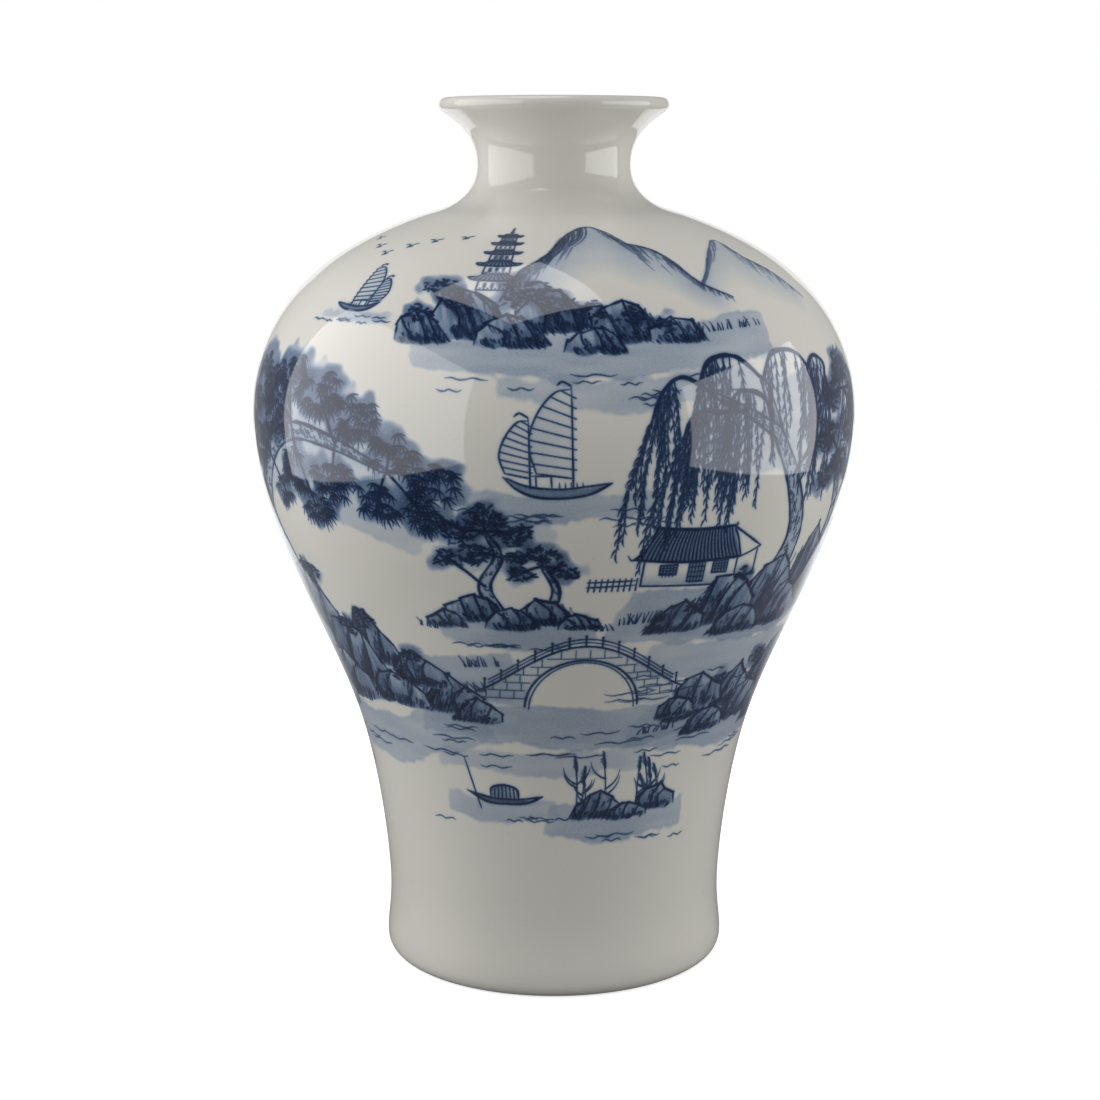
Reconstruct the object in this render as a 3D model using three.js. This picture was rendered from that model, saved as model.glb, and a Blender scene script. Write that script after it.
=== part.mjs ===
// A tall shouldered porcelain vase with a narrow neck and a flared mouth, in millimetres, +Z up.
// Large vases of this form are thrown or cast as separate rings of clay, which are stacked and luted
// together with liquid clay slip before firing. Each ring, the floor slab, the applied foot ring and
// the slip in each joint are modelled as a solid of their own. The origin is the centre of the foot,
// on the surface that the vase stands on.
import * as THREE from "three";

// Outer wall, from the foot upwards: the rise of each stretch of the wall and the radius at its end.
const heelRadius = 5.2; // rounded lower edge of the foot
const footRise = 1.6; // heel to the widest point of the foot
const footRadius = 68;
const waistRise = 20.2; // foot to the slimmest point of the stem
const waistNarrowing = 1.3; // how much smaller the radius of the waist is than that of the foot
const flankRise = 70; // waist to the middle of the rising flank
const flankSpread = 10.7; // how much greater the radius of the flank is than that of the waist
const bellyRise = 122; // flank to the widest point of the body
const bellyRadius = 117.9;
const shoulderRise = 57.2; // belly to the round of the shoulder
const shoulderRadius = 90;
const rootRise = 21.5; // shoulder to the root of the neck
const rootRadius = 44.5;
const throatRise = 17; // neck root to the narrowest point of the neck
const throatRadius = 29.8;
const lipRise = 20.8; // throat to the underside of the lip
const lipRadius = 43.8;
const rimRadius = 2.65; // half round that closes the lip

// Lean of the wall where it isn't upright, in degrees from upright, outwards as it rises.
const heelLean = 3;
const flankLean = 16.4;
const shoulderLean = -52;
const rootLean = -75.9;
const lipLean = 44.2;

// Thickness of the clay wall at the foot, the belly and the throat. The lip is as thick as its rim.
const footWall = 7.2;
const bellyWall = 5;
const throatWall = 4.6;

// Foot ring and floor.
const footRingWidth = 11.6; // across the ring's upper face
const footRingChamfer = 1;
const ledgeThickness = 2.4; // of the foot wall that carries the floor slab
const floorThickness = 6.4;
const floorEdgeRound = 1.2;

// Lap joints between the rings of clay. Heights are measured from the nearest station of the wall.
const waistJointAboveWaist = 42;
const bellyJointAboveBelly = -1.5;
const neckJointAboveRoot = 9.6;
const lapHeight = 3; // of the inner tongue over the outer shoulder
const slipThickness = 0.8; // of clay slip in every joint
const slipBead = 1.1; // how far the squeezed slip stands proud of the inner wall
const slipFillet = 3; // round the floor, inside the vase

// Facets round the vase, and steps along each stretch of the wall.
const facetsRound = 48;
const wallSteps = [1, 2, 4, 8, 7, 6, 5, 6];
const arcSteps = 4;
const innerCoarseness = 1.5; // steps along the inner wall are this much longer

const radians = THREE.MathUtils.degToRad;
const upright = 0;

const waistRadius = footRadius - waistNarrowing;
const flankRadius = waistRadius + flankSpread;

const footHeight = heelRadius + footRise;
const waistHeight = footHeight + waistRise;
const flankHeight = waistHeight + flankRise;
const bellyHeight = flankHeight + bellyRise;
const shoulderHeight = bellyHeight + shoulderRise;
const rootHeight = shoulderHeight + rootRise;
const throatHeight = rootHeight + throatRise;
const lipHeight = throatHeight + lipRise;

// The heel stops a little inside the widest radius of the foot, which flares out above it.
const heelInset = 0.2;

// Stations of the outer wall. pull and push are the lengths of the curve's handles after and before
// the station, as shares of the stretch that they shape.
const stations = [
  { radius: footRadius - heelInset, height: heelRadius, lean: heelLean, wall: footWall, pull: 0.33 },
  { radius: footRadius, height: footHeight, lean: upright, wall: footWall, push: 0.33, pull: 0.37 },
  { radius: waistRadius, height: waistHeight, lean: upright, wall: footWall, push: 0.59, pull: 0.18 },
  { radius: flankRadius, height: flankHeight, lean: flankLean, wall: bellyWall, push: 0.36, pull: 0.32 },
  { radius: bellyRadius, height: bellyHeight, lean: upright, wall: bellyWall, push: 0.35, pull: 0.28 },
  {
    radius: shoulderRadius,
    height: shoulderHeight,
    lean: shoulderLean,
    wall: bellyWall,
    push: 0.42,
    pull: 0.4,
  },
  { radius: rootRadius, height: rootHeight, lean: rootLean, wall: bellyWall, push: 0.13, pull: 0.37 },
  { radius: throatRadius, height: throatHeight, lean: upright, wall: throatWall, push: 0.4, pull: 0.54 },
  { radius: lipRadius, height: lipHeight, lean: lipLean, wall: 2 * rimRadius, push: 0.16 },
];

function direction(lean) {
  return new THREE.Vector2(Math.sin(radians(lean)), Math.cos(radians(lean)));
}

// The stretch of outer wall between two stations, as one Bezier curve of (radius, height).
function stretch(low, high) {
  const start = new THREE.Vector2(low.radius, low.height);
  const end = new THREE.Vector2(high.radius, high.height);
  const length = start.distanceTo(end);
  return new THREE.CubicBezierCurve(
    start,
    start.clone().addScaledVector(direction(low.lean), low.pull * length),
    end.clone().addScaledVector(direction(high.lean), -high.push * length),
    end,
  );
}

// Points of the outer wall and, one thickness further in along the wall's normal, of the inner wall.
function wallPoints(coarseness) {
  const outer = [];
  const inner = [];
  for (let i = 0; i + 1 < stations.length; i++) {
    const curve = stretch(stations[i], stations[i + 1]);
    const steps = Math.ceil(wallSteps[i] / coarseness);
    const last = i + 2 === stations.length ? steps : steps - 1;
    for (let k = 0; k <= last; k++) {
      const share = k / steps;
      const point = curve.getPoint(share);
      const along = curve.getTangent(share);
      const thickness = THREE.MathUtils.lerp(stations[i].wall, stations[i + 1].wall, share);
      outer.push(point);
      inner.push(new THREE.Vector2(point.x - thickness * along.y, point.y + thickness * along.x));
    }
  }
  return { outer, inner };
}

const outerWall = wallPoints(1).outer;
const innerWall = wallPoints(innerCoarseness).inner;

// The radius at a height of a wall that is given as points in rising order.
function radiusAt(wall, height) {
  const next = Math.max(
    1,
    wall.findIndex((point) => point.y >= height),
  );
  const low = wall[next - 1];
  const high = wall[next];
  return THREE.MathUtils.mapLinear(height, low.y, high.y, low.x, high.x);
}

// The points of a wall between two heights, ends included, in rising order. Points that lie within
// a hair of an end are left out, so that no sliver of a facet is made.
function between(wall, low, high) {
  const hair = 0.3;
  const inside = wall.filter((point) => point.y > low + hair && point.y < high - hair);
  return [
    new THREE.Vector2(radiusAt(wall, low), low),
    ...inside,
    new THREE.Vector2(radiusAt(wall, high), high),
  ];
}

// The lap joint whose outer seam is at a height: an inner tongue on the lower ring stands in a
// rebate of the upper one, with slip between them.
function lapJoint(height) {
  const low = height - slipThickness / 2;
  const high = height + slipThickness / 2;
  const middle = (radiusAt(outerWall, height) + radiusAt(innerWall, height + lapHeight)) / 2;
  return {
    low,
    high,
    tongueTop: low + lapHeight,
    rebateTop: high + lapHeight,
    tongueRadius: middle - slipThickness / 2,
    rebateRadius: middle + slipThickness / 2,
  };
}

const waistJoint = lapJoint(waistHeight + waistJointAboveWaist);
const bellyJoint = lapJoint(bellyHeight + bellyJointAboveBelly);
const neckJoint = lapJoint(rootHeight + neckJointAboveRoot);

// Heights inside the foot. The foot ring ends where the rounded heel does.
const footWallBottom = heelRadius + slipThickness;
const ledgeTop = footWallBottom + ledgeThickness;
const floorBottom = ledgeTop + slipThickness;
const floorTop = floorBottom + floorThickness;
const filletTop = floorTop + slipFillet;
const recessRadius = footRadius - heelInset - footRingWidth;
const seatRadius = radiusAt(innerWall, filletTop);
const floorRadius = seatRadius - slipThickness;

// The upper end of a ring of clay: its inner tongue, listed from the outside inwards.
function tongueEnd(joint) {
  return [
    new THREE.Vector2(joint.tongueRadius, joint.low),
    new THREE.Vector2(joint.tongueRadius, joint.tongueTop),
  ];
}

// The lower end of a ring of clay: its rebate, listed from the inside outwards.
function rebateEnd(joint) {
  return [
    new THREE.Vector2(joint.rebateRadius, joint.rebateTop),
    new THREE.Vector2(joint.rebateRadius, joint.high),
  ];
}

// A ring of clay between two lap joints.
function bodySection(lower, upper) {
  return [
    ...between(outerWall, lower.high, upper.low),
    ...tongueEnd(upper),
    ...between(innerWall, lower.rebateTop, upper.tongueTop).reverse(),
    ...rebateEnd(lower),
  ];
}

// Neck and mouth, closed at the top by the half round of the rim.
function neckSection() {
  const lip = stations.at(-1);
  const outwards = direction(lip.lean).rotateAround(new THREE.Vector2(), -Math.PI / 2);
  const centre = new THREE.Vector2(lip.radius, lip.height).addScaledVector(outwards, -rimRadius);
  const rim = [];
  for (let k = 1; k < 2 * arcSteps; k++) {
    const spoke = outwards.clone().rotateAround(new THREE.Vector2(), (Math.PI * k) / (2 * arcSteps));
    rim.push(centre.clone().addScaledVector(spoke, rimRadius));
  }
  return [
    ...between(outerWall, neckJoint.high, lip.height),
    ...rim,
    ...between(innerWall, neckJoint.rebateTop, innerWall.at(-1).y).reverse(),
    ...rebateEnd(neckJoint),
  ];
}

// Foot wall, with the ledge inside it that carries the floor slab.
function footSection() {
  return [
    ...between(outerWall, footWallBottom, waistJoint.low),
    ...tongueEnd(waistJoint),
    ...between(innerWall, filletTop, waistJoint.tongueTop).reverse(),
    new THREE.Vector2(seatRadius, ledgeTop),
    new THREE.Vector2(recessRadius, ledgeTop),
    new THREE.Vector2(recessRadius, footWallBottom),
  ];
}

// Applied foot ring: a flat bare sole, a chamfer inside it and a rounded heel outside.
function footRing() {
  const soleRadius = footRadius - heelInset - heelRadius;
  const heel = [];
  for (let k = 0; k <= arcSteps; k++) {
    const turn = ((Math.PI / 2) * k) / arcSteps;
    heel.push(
      new THREE.Vector2(soleRadius + heelRadius * Math.sin(turn), heelRadius * (1 - Math.cos(turn))),
    );
  }
  return [
    ...heel,
    new THREE.Vector2(recessRadius, heelRadius),
    new THREE.Vector2(recessRadius, footRingChamfer),
    new THREE.Vector2(recessRadius + footRingChamfer, 0),
  ];
}

// Floor slab, with its upper edge rounded.
function floorSlab() {
  return [
    new THREE.Vector2(0, floorBottom),
    new THREE.Vector2(floorRadius, floorBottom),
    new THREE.Vector2(floorRadius, floorTop - floorEdgeRound),
    new THREE.Vector2(floorRadius - floorEdgeRound, floorTop),
    new THREE.Vector2(0, floorTop),
  ];
}

// Slip in a lap joint: it fills the step between the two rings and ends inside in a rounded bead.
function lapSlip(joint) {
  const beadBottom = radiusAt(innerWall, joint.tongueTop);
  const beadTop = radiusAt(innerWall, joint.rebateTop);
  const beadMiddle = (joint.tongueTop + joint.rebateTop) / 2;
  return [
    new THREE.Vector2(radiusAt(outerWall, joint.low), joint.low),
    new THREE.Vector2(radiusAt(outerWall, joint.high), joint.high),
    new THREE.Vector2(joint.rebateRadius, joint.high),
    new THREE.Vector2(joint.rebateRadius, joint.rebateTop),
    new THREE.Vector2(beadTop, joint.rebateTop),
    new THREE.Vector2(Math.min(beadTop, beadBottom) - slipBead, beadMiddle),
    new THREE.Vector2(beadBottom, joint.tongueTop),
    new THREE.Vector2(joint.tongueRadius, joint.tongueTop),
    new THREE.Vector2(joint.tongueRadius, joint.low),
  ];
}

// Slip that beds the floor slab on its ledge and fills the corner above it with a cove.
function floorSlip() {
  const cove = [];
  for (let k = 1; k < arcSteps; k++) {
    const turn = ((Math.PI / 2) * k) / arcSteps;
    cove.push(
      new THREE.Vector2(
        seatRadius - slipFillet * (1 - Math.cos(turn)),
        filletTop - slipFillet * Math.sin(turn),
      ),
    );
  }
  return [
    new THREE.Vector2(recessRadius, ledgeTop),
    new THREE.Vector2(seatRadius, ledgeTop),
    new THREE.Vector2(seatRadius, filletTop),
    ...cove,
    new THREE.Vector2(seatRadius - slipFillet, floorTop),
    new THREE.Vector2(floorRadius - floorEdgeRound, floorTop),
    new THREE.Vector2(floorRadius, floorTop - floorEdgeRound),
    new THREE.Vector2(floorRadius, floorBottom),
    new THREE.Vector2(recessRadius, floorBottom),
  ];
}

// Thin bed of slip between the foot ring and the foot wall.
function footSlip() {
  return [
    new THREE.Vector2(recessRadius, heelRadius),
    new THREE.Vector2(radiusAt(outerWall, heelRadius), heelRadius),
    new THREE.Vector2(radiusAt(outerWall, footWallBottom), footWallBottom),
    new THREE.Vector2(recessRadius, footWallBottom),
  ];
}

const glazedPorcelain = new THREE.MeshStandardMaterial({
  color: 0xdedbd2,
  roughness: 0.12,
  metalness: 0,
});
const bareBiscuit = new THREE.MeshStandardMaterial({ color: 0xcdbfa9, roughness: 0.85, metalness: 0 });
const driedSlip = new THREE.MeshStandardMaterial({ color: 0xd6cfbf, roughness: 0.5, metalness: 0 });

// A profile of (radius, height) points, turned round the upright axis. A profile that doesn't start
// on the axis is closed on itself.
function turned(name, profile, material) {
  const closed = profile[0].x > 0 ? [...profile, profile[0].clone()] : profile;
  const geometry = new THREE.LatheGeometry(closed, facetsRound);
  geometry.rotateX(Math.PI / 2);
  const mesh = new THREE.Mesh(geometry, material);
  mesh.name = name;
  return mesh;
}

const vase = new THREE.Group();
vase.add(
  turned("neck_and_mouth", neckSection(), glazedPorcelain),
  turned("shoulder_section", bodySection(bellyJoint, neckJoint), glazedPorcelain),
  turned("flank_section", bodySection(waistJoint, bellyJoint), glazedPorcelain),
  turned("foot_section", footSection(), glazedPorcelain),
  turned("floor_slab", floorSlab(), glazedPorcelain),
  turned("foot_ring", footRing(), bareBiscuit),
  turned("slip_joint_neck", lapSlip(neckJoint), driedSlip),
  turned("slip_joint_belly", lapSlip(bellyJoint), driedSlip),
  turned("slip_joint_waist", lapSlip(waistJoint), driedSlip),
  turned("slip_joint_floor", floorSlip(), driedSlip),
  turned("slip_joint_foot", footSlip(), driedSlip),
);

export default vase;
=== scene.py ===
"""A tall blue and white porcelain vase, painted under its glaze with a river landscape.

The frame gives the solids. Each piece is made again here as a fine turned mesh on the same profile.
The painting is a sheet of numbers that the script's own brush strokes fill. Its samples lie on the
faces of the outer wall, so the cobalt belongs to the surface.

Lengths are in metres in the scene, and in millimetres on the painting and on the wall's profile.
"""

import math

import bpy
import numpy as np
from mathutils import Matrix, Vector


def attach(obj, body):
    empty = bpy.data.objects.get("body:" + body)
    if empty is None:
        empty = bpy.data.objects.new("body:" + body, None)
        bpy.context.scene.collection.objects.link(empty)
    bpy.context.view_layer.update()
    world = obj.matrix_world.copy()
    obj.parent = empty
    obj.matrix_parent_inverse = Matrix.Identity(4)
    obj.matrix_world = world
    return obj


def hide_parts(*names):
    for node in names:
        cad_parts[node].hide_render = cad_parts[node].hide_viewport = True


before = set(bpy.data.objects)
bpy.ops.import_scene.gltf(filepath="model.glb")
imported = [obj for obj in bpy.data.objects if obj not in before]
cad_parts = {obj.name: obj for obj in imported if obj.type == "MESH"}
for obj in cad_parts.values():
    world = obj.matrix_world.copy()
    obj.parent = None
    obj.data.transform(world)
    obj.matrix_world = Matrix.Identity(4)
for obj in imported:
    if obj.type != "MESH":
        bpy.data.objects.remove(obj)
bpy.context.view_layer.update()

MM = 0.001

# The fine meshes
CELLS = 8  # samples of the painting along each side of a face
COLUMNS = 308  # faces once round the vase
ROW = 2.4  # tallest row of faces on the outer wall
ROW_TURN = 6.0  # and the most that it may bend, in degrees
INNER_ROW = 9.0  # the same for every other row
INNER_TURN = 15.0
AXIS = 0.01  # nearer the axis than this, a ring is one point
CORNER = 40.0  # a sharper bend than this in a profile stays an edge
ON_SKIN = 0.3  # a run this near the outer wall is part of it
SKIN_STEP = 0.1  # spacing of the points that describe the outer wall

# The pigment
TEXEL = 0.3  # spacing of the painting's samples up the wall
PAINTED = (8.0, 334.0)  # the heights between which the vase is painted
FULL_INK = 4.9  # how strongly the darkest line absorbs light
WASH = 0.62  # and a common wash
DEEPEST = 7.8  # what ever more ink at one spot comes near to
COBALT = (1.0, 0.81, 0.58)  # the pigment's absorption of red, green and blue
COBALT_THIN = (0.0, 0.07, 0.2)  # how much less of them any layer but the thinnest absorbs
THICKENS = 2.0  # and how fast that comes in
LINE_SPREAD = (1.0, 0.18)  # how many samples far a line spreads in the fire, and how much of it does
WASH_SPREAD = 0.9
HALO = (2.6, 0.2)  # the same for the faint halo round the lines
NOISE_TILE = 97  # the noise repeats after this many steps
LINE_STEP = 0.15  # spacing of a line's points, in millimetres
TICK_STEP = 0.17  # and of the points of a short stroke

# Looks. Colours are linear light.
GLAZE = (0.64, 0.624, 0.571)
BISCUIT = (0.62, 0.55, 0.45)
BISCUIT_ROUGH, BISCUIT_GRAIN = 0.75, 2600.0
SLIP = (0.68, 0.64, 0.56)
SLIP_ROUGH, SLIP_GRAIN = 0.55, 1800.0
GLAZE_ROUGH, GLAZE_IOR = 0.05, 1.56
GLAZE_WAVE = (0.25, 0.00012)  # the strength and the depth of the glaze's waviness
CLAY_WAVE = (0.5, 0.00015)  # and of the grain of bare clay
SOLE_GLAZE = 0.8  # the glaze stops this far above the sole

# Camera, measured from the vase's axis and from the surface that it stands on
CAMERA_DISTANCE = 0.858154
CAMERA_HEIGHT = 0.318143
CAMERA_PITCH = 10.26  # degrees below level
LENS = 71.36
SENSOR = 36.0
SHIFT = -0.0036  # the axis stands a little right of the picture's middle

# Light. Each softbox has a place, a point that it faces, its width and height, and its power.
WORLD_FILL = (0.16, 0.36)  # the light from below and from above
WORLD_SEEN = (0.1, 0.35)  # what a gloss sees towards the camera, and behind the vase
SOFTBOXES = (
    ("left_softbox", (-0.6, -0.28, 0.4), (0, -0.18, 0.39), (1.16, 0.79), 5.5),
    ("right_softbox", (0.7, -0.18, 0.28), (0, -0.1, 0.24), (0.84, 0.56), 3.8),
    ("top_softbox", (-0.15, -0.08, 1.3), (0, 0, 0.25), (0.7, 0.6), 3.0),
)

# The floor and the backdrop behind it fill what the camera sees, and no more.
FLOOR_FRONT, FLOOR_BACK = (-0.164, 0.196), (1.7, 0.68)  # how far back, and half the width there
BACKDROP_HEIGHT = 0.6
SET_WHITE = 0.8  # the colour that the camera sees on the floor, before its lift
# The floor's glow for the camera is weaker near the foot than further off: a painted shade round the vase.
FLOOR_GLOW_WITH_PAINTED_SHADE = (0.68, 0.97)  # the glow added for the camera near the foot, and further off
FLOOR_PAINTED_SHADE_REACH = (0.12, 0.5)
FLOOR_PALE = 0.25  # how much of the light the floor gives back to the vase
FLOOR_GLOSS = (0.3, 0.6)  # nearer than this a gloss sees the plain floor, further off the white


# Lines of points


def distances(path):
    """The distance along a path to each of its points."""
    return np.concatenate([[0], np.cumsum(np.hypot(*np.diff(path, axis=0).T))])


def between(a, b, c, d, t):
    """A smooth line's value at a share t of the way from b to c. a and d are the values beyond."""
    return b + 0.5 * t * (c - a + t * (2 * a - 5 * b + 4 * c - d + t * (3 * (b - c) + d - a)))


def pair(u, v):
    """Points with these u and v. Either may be one number for all of them."""
    return np.stack(np.broadcast_arrays(u, v), axis=-1)


def quarter(way):
    """Directions turned a quarter to the left."""
    return pair(-way[..., 1], way[..., 0])


def read(path, run, at):
    """Points at distances along a path. run has the distance to each point of the path."""
    return pair(*(np.interp(at, run, path[:, k]) for k in (0, 1)))


def curve(points, step=LINE_STEP):
    """A smooth line through the points, with one row for each small step along it."""
    p = np.asarray(points, float)
    if len(p) > 2:
        ends = np.vstack([2 * p[0] - p[1], p, 2 * p[-1] - p[-2]])
        t = np.linspace(0, 1, 13)[:-1, None]
        pieces = [between(*four, t) for four in zip(ends, ends[1:], ends[2:], ends[3:])]
        p = np.vstack(pieces + [p[-1:]])
    run = distances(p)
    return read(p, run, np.linspace(0, run[-1], max(2, int(run[-1] / step))))


def along(path, share):
    """Points at shares of a path's length, and the unit directions of the path there."""
    run = distances(path)
    at = np.asarray(share) * run[-1]
    way = read(path, run, at + 0.4) - read(path, run, at - 0.4)
    return read(path, run, at), way / np.maximum(np.hypot(way[..., 0], way[..., 1]), 1e-9)[..., None]


def far_from(path, u, v):
    """How far each spot is from a line of points."""
    far = np.full(u.shape, 1e9)
    for a, b in zip(path, path[1:]):
        d = b - a
        t = np.clip(((u - a[0]) * d[0] + (v - a[1]) * d[1]) / max(d @ d, 1e-9), 0, 1)
        far = np.minimum(far, (u - a[0] - t * d[0]) ** 2 + (v - a[1] - t * d[1]) ** 2)
    return np.sqrt(far)


# Profiles


def outline(node):
    """A turned CAD node's profile as (radius, height) points, anticlockwise, and whether it is closed."""
    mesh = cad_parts[node].data
    spot = {}
    for vertex in mesh.vertices:
        x, y, z = vertex.co
        if abs(x) < 1e-6 and y < 1e-6:
            spot[vertex.index] = (round(-y / MM, 3), round(z / MM, 3))
    links = {}
    for face in mesh.polygons:
        ends = {spot[i] for i in face.vertices if i in spot}
        if len(ends) == 2:
            a, b = ends
            links.setdefault(a, set()).add(b)
            links.setdefault(b, set()).add(a)
    loose = sorted((p for p in links if len(links[p]) == 1), key=lambda p: p[1])
    chain = [loose[0] if loose else max(links)]
    while True:
        ahead = [p for p in links[chain[-1]] if p not in chain[-2:]]
        if not ahead or ahead[0] == chain[0]:
            break
        chain.append(ahead[0])
    points = np.array(chain)
    after = np.roll(points, -1, axis=0)
    area = np.sum(points[:, 0] * after[:, 1] - after[:, 0] * points[:, 1])
    if area < 0 and not loose:
        points = points[::-1]
    return points, not loose


def smooth_runs(points, closed):
    """The profile cut at its corners, as a list of smooth runs that share their ends."""
    way = np.diff(np.vstack([points, points[:1]]), axis=0)
    angle = np.arctan2(way[:, 1], way[:, 0])
    bend = np.degrees(np.abs(np.angle(np.exp(1j * (angle - np.roll(angle, 1))))))
    corners = [k for k in range(len(points)) if bend[k] > CORNER]
    if not closed:
        corners = sorted({0, len(points) - 1, *corners})
        return [points[a : b + 1] for a, b in zip(corners, corners[1:])]
    ring = np.vstack([points[corners[0] :], points[: corners[0] + 1]])
    cuts = [k - corners[0] for k in corners] + [len(points)]
    return [ring[a : b + 1] for a, b in zip(cuts, cuts[1:])]


class Spline:
    """A smooth curve through points, followed by the distance along their chords."""

    def __init__(self, points):
        self.points = np.asarray(points, float)
        self.run = distances(self.points)
        count = len(self.points)
        gap = np.diff(self.run)
        slope = np.diff(self.points, axis=0) / gap[:, None]
        matrix, right = np.eye(count), np.zeros((count, 2))
        for k in range(1, count - 1):
            matrix[k, k - 1 : k + 2] = gap[k - 1], 2 * (gap[k - 1] + gap[k]), gap[k]
            right[k] = 6 * (slope[k] - slope[k - 1])
        self.curl = np.linalg.solve(matrix, right)

    def at(self, run):
        """The points at distances along it, and the directions there."""
        k = np.clip(np.searchsorted(self.run, run, side="right") - 1, 0, len(self.run) - 2)
        gap = (self.run[k + 1] - self.run[k])[:, None]
        a = (self.run[k + 1] - run)[:, None] / gap
        b = 1 - a
        p, q, m, n = self.points[k], self.points[k + 1], self.curl[k], self.curl[k + 1]
        point = a * p + b * q + ((a**3 - a) * m + (b**3 - b) * n) * gap**2 / 6
        way = (q - p) / gap + ((1 - 3 * a**2) * m + (3 * b**2 - 1) * n) * gap / 6
        return point, way / np.hypot(way[:, 0], way[:, 1])[:, None]

    def rows(self, start, end, tallest, most_turn):
        """Distances from start to end, close enough together for the curve to look round."""
        run = np.linspace(start, end, max(3, int((end - start) / SKIN_STEP)))
        _, way = self.at(run)
        turn = np.degrees(np.abs(np.diff(np.unwrap(np.arctan2(way[:, 1], way[:, 0])))))
        cost = np.concatenate([[0], np.cumsum(np.diff(run) / tallest + turn / most_turn)])
        return np.interp(np.linspace(0, cost[-1], max(1, round(cost[-1])) + 1), cost, run)


def outer_wall():
    """The vase's whole outer wall as one smooth curve."""
    parts = []
    for node in ("foot_ring", "foot_section", "flank_section", "shoulder_section", "neck_and_mouth"):
        runs = [run for run in profiles[node] if len(run) > 2]
        parts.append(max(runs, key=lambda run: run[:, 0].mean()))
    return Spline(np.vstack([parts[0][:-1], *(part[1:-1] for part in parts[1:-1]), parts[-1][1:]]))


profiles = {node: smooth_runs(*outline(node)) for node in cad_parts}
skin = outer_wall()

# How far up the wall each point of the skin is, from the belly's widest line, and its radius there
FINE = np.arange(0, skin.run[-1], SKIN_STEP)
SKIN_POINTS, _ = skin.at(FINE)
WIDEST = np.argmax(SKIN_POINTS[:, 0])
SKIN_RISE = distances(SKIN_POINTS)
SKIN_RISE -= SKIN_RISE[WIDEST]
BELLY = SKIN_POINTS[WIDEST, 0]
GIRTH = 2 * math.pi * BELLY


def stretch_at(rise):
    """How much wider than on the vase a thing is on the unrolled sheet, at a height up the wall."""
    return BELLY / np.interp(rise, SKIN_RISE, SKIN_POINTS[:, 0])


def rise_at(height):
    """The distance up the outer wall at a height of the vase in millimetres."""
    lip = np.argmax(SKIN_POINTS[:, 1])
    return np.interp(height, SKIN_POINTS[:lip, 1], SKIN_RISE[:lip])


# The painting's sheet and brush


def spread_out(ink, width):
    """The ink blurred by a width in samples. A row joins up with itself round the vase."""
    steps = range(-round(3 * width), round(3 * width) + 1)
    share = np.array([math.exp(-0.5 * (k / width) ** 2) for k in steps], np.float32)
    share /= share.sum()
    result = sum(part * np.roll(ink, k, axis=1) for k, part in zip(steps, share))
    padded = np.pad(result, ((steps[-1], steps[-1]), (0, 0)))
    return sum(part * padded[k : k + len(ink)] for k, part in enumerate(share))


class Sheet:
    """The painting, unrolled: how strongly the cobalt absorbs light at each spot.

    A row goes once round the vase, from the back, past the left side, to the front. Rows rise up
    the wall. Lines and washes are kept apart so that a wash can overlap another without hiding lines.
    """

    def __init__(self, low, high):
        self.low = low
        self.columns = COLUMNS * CELLS
        self.pitch = GIRTH / self.columns
        self.rows = round((high - low) / TEXEL)
        self.lines = np.zeros((self.rows, self.columns), np.float32)
        self.washes = np.zeros((self.rows, self.columns), np.float32)
        self.tile = np.random.default_rng(7).random((NOISE_TILE, NOISE_TILE), np.float32)

    def column(self, x):
        """The column of samples at a distance round the belly from the front."""
        return x / self.pitch + self.columns / 2

    def noise(self, u, v, scale):
        """Smooth noise from 0 to 1 on a plane in millimetres."""
        a, b = u / scale + 40, v / scale + 40
        i, j = np.floor(a).astype(int), np.floor(b).astype(int)
        s, t = a - i, b - j
        s, t = s * s * (3 - 2 * s), t * t * (3 - 2 * t)
        i, j, k, m = (step % NOISE_TILE for step in (i, j, i + 1, j + 1))
        low = self.tile[i, j] * (1 - s) + self.tile[k, j] * s
        high = self.tile[i, m] * (1 - s) + self.tile[k, m] * s
        return low * (1 - t) + high * t

    def touch(self, x, y, radius, strength):
        """Round touches of a fine brush, in millimetres of the sheet. Every argument is a flat array."""
        column, row, up = self.column(x), (y - self.low) / TEXEL, radius / TEXEL
        across = up * stretch_at(y)
        flat = self.lines.reshape(-1)
        reach = np.ceil(np.maximum(up, across) + 0.7).astype(int)
        for size in np.unique(reach):
            pick = reach == size
            c, r, a, b, tone = column[pick], row[pick], across[pick], up[pick], strength[pick]
            c0, r0 = np.round(c).astype(int), np.round(r).astype(int)
            tall = int(np.ceil(b.max() + 0.7))
            for i in range(-size, size + 1):
                for j in range(-tall, tall + 1):
                    far = np.hypot((c0 + i - c) / a, (r0 + j - r) / b)
                    cover = np.clip(0.5 + (1 - far) * b / 1.25, 0, 1) * tone
                    rows = np.clip(r0 + j, 0, self.rows - 1)
                    np.maximum.at(flat, rows * self.columns + (c0 + i) % self.columns, cover)

    def fire(self):
        """The cobalt spreads a little into the glaze as it melts, and leaves a soft halo."""
        (near, share), (far, faint) = LINE_SPREAD, HALO
        halo = faint * spread_out(self.lines, far)
        self.lines = (1 - share) * self.lines + share * spread_out(self.lines, near)
        self.washes = spread_out(self.washes, WASH_SPREAD) + halo

    def sampled(self, rise):
        """The painting's rows at distances up the wall, read smoothly between its own rows."""
        row = np.clip((rise - self.low) / TEXEL, 1, self.rows - 3)
        k = np.floor(row).astype(int)
        ink = DEEPEST * (1 - np.exp(-(self.lines + self.washes) / DEEPEST))
        return np.maximum(between(*(ink[k + i] for i in (-1, 0, 1, 2)), (row - k)[:, None]), 0)


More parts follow.
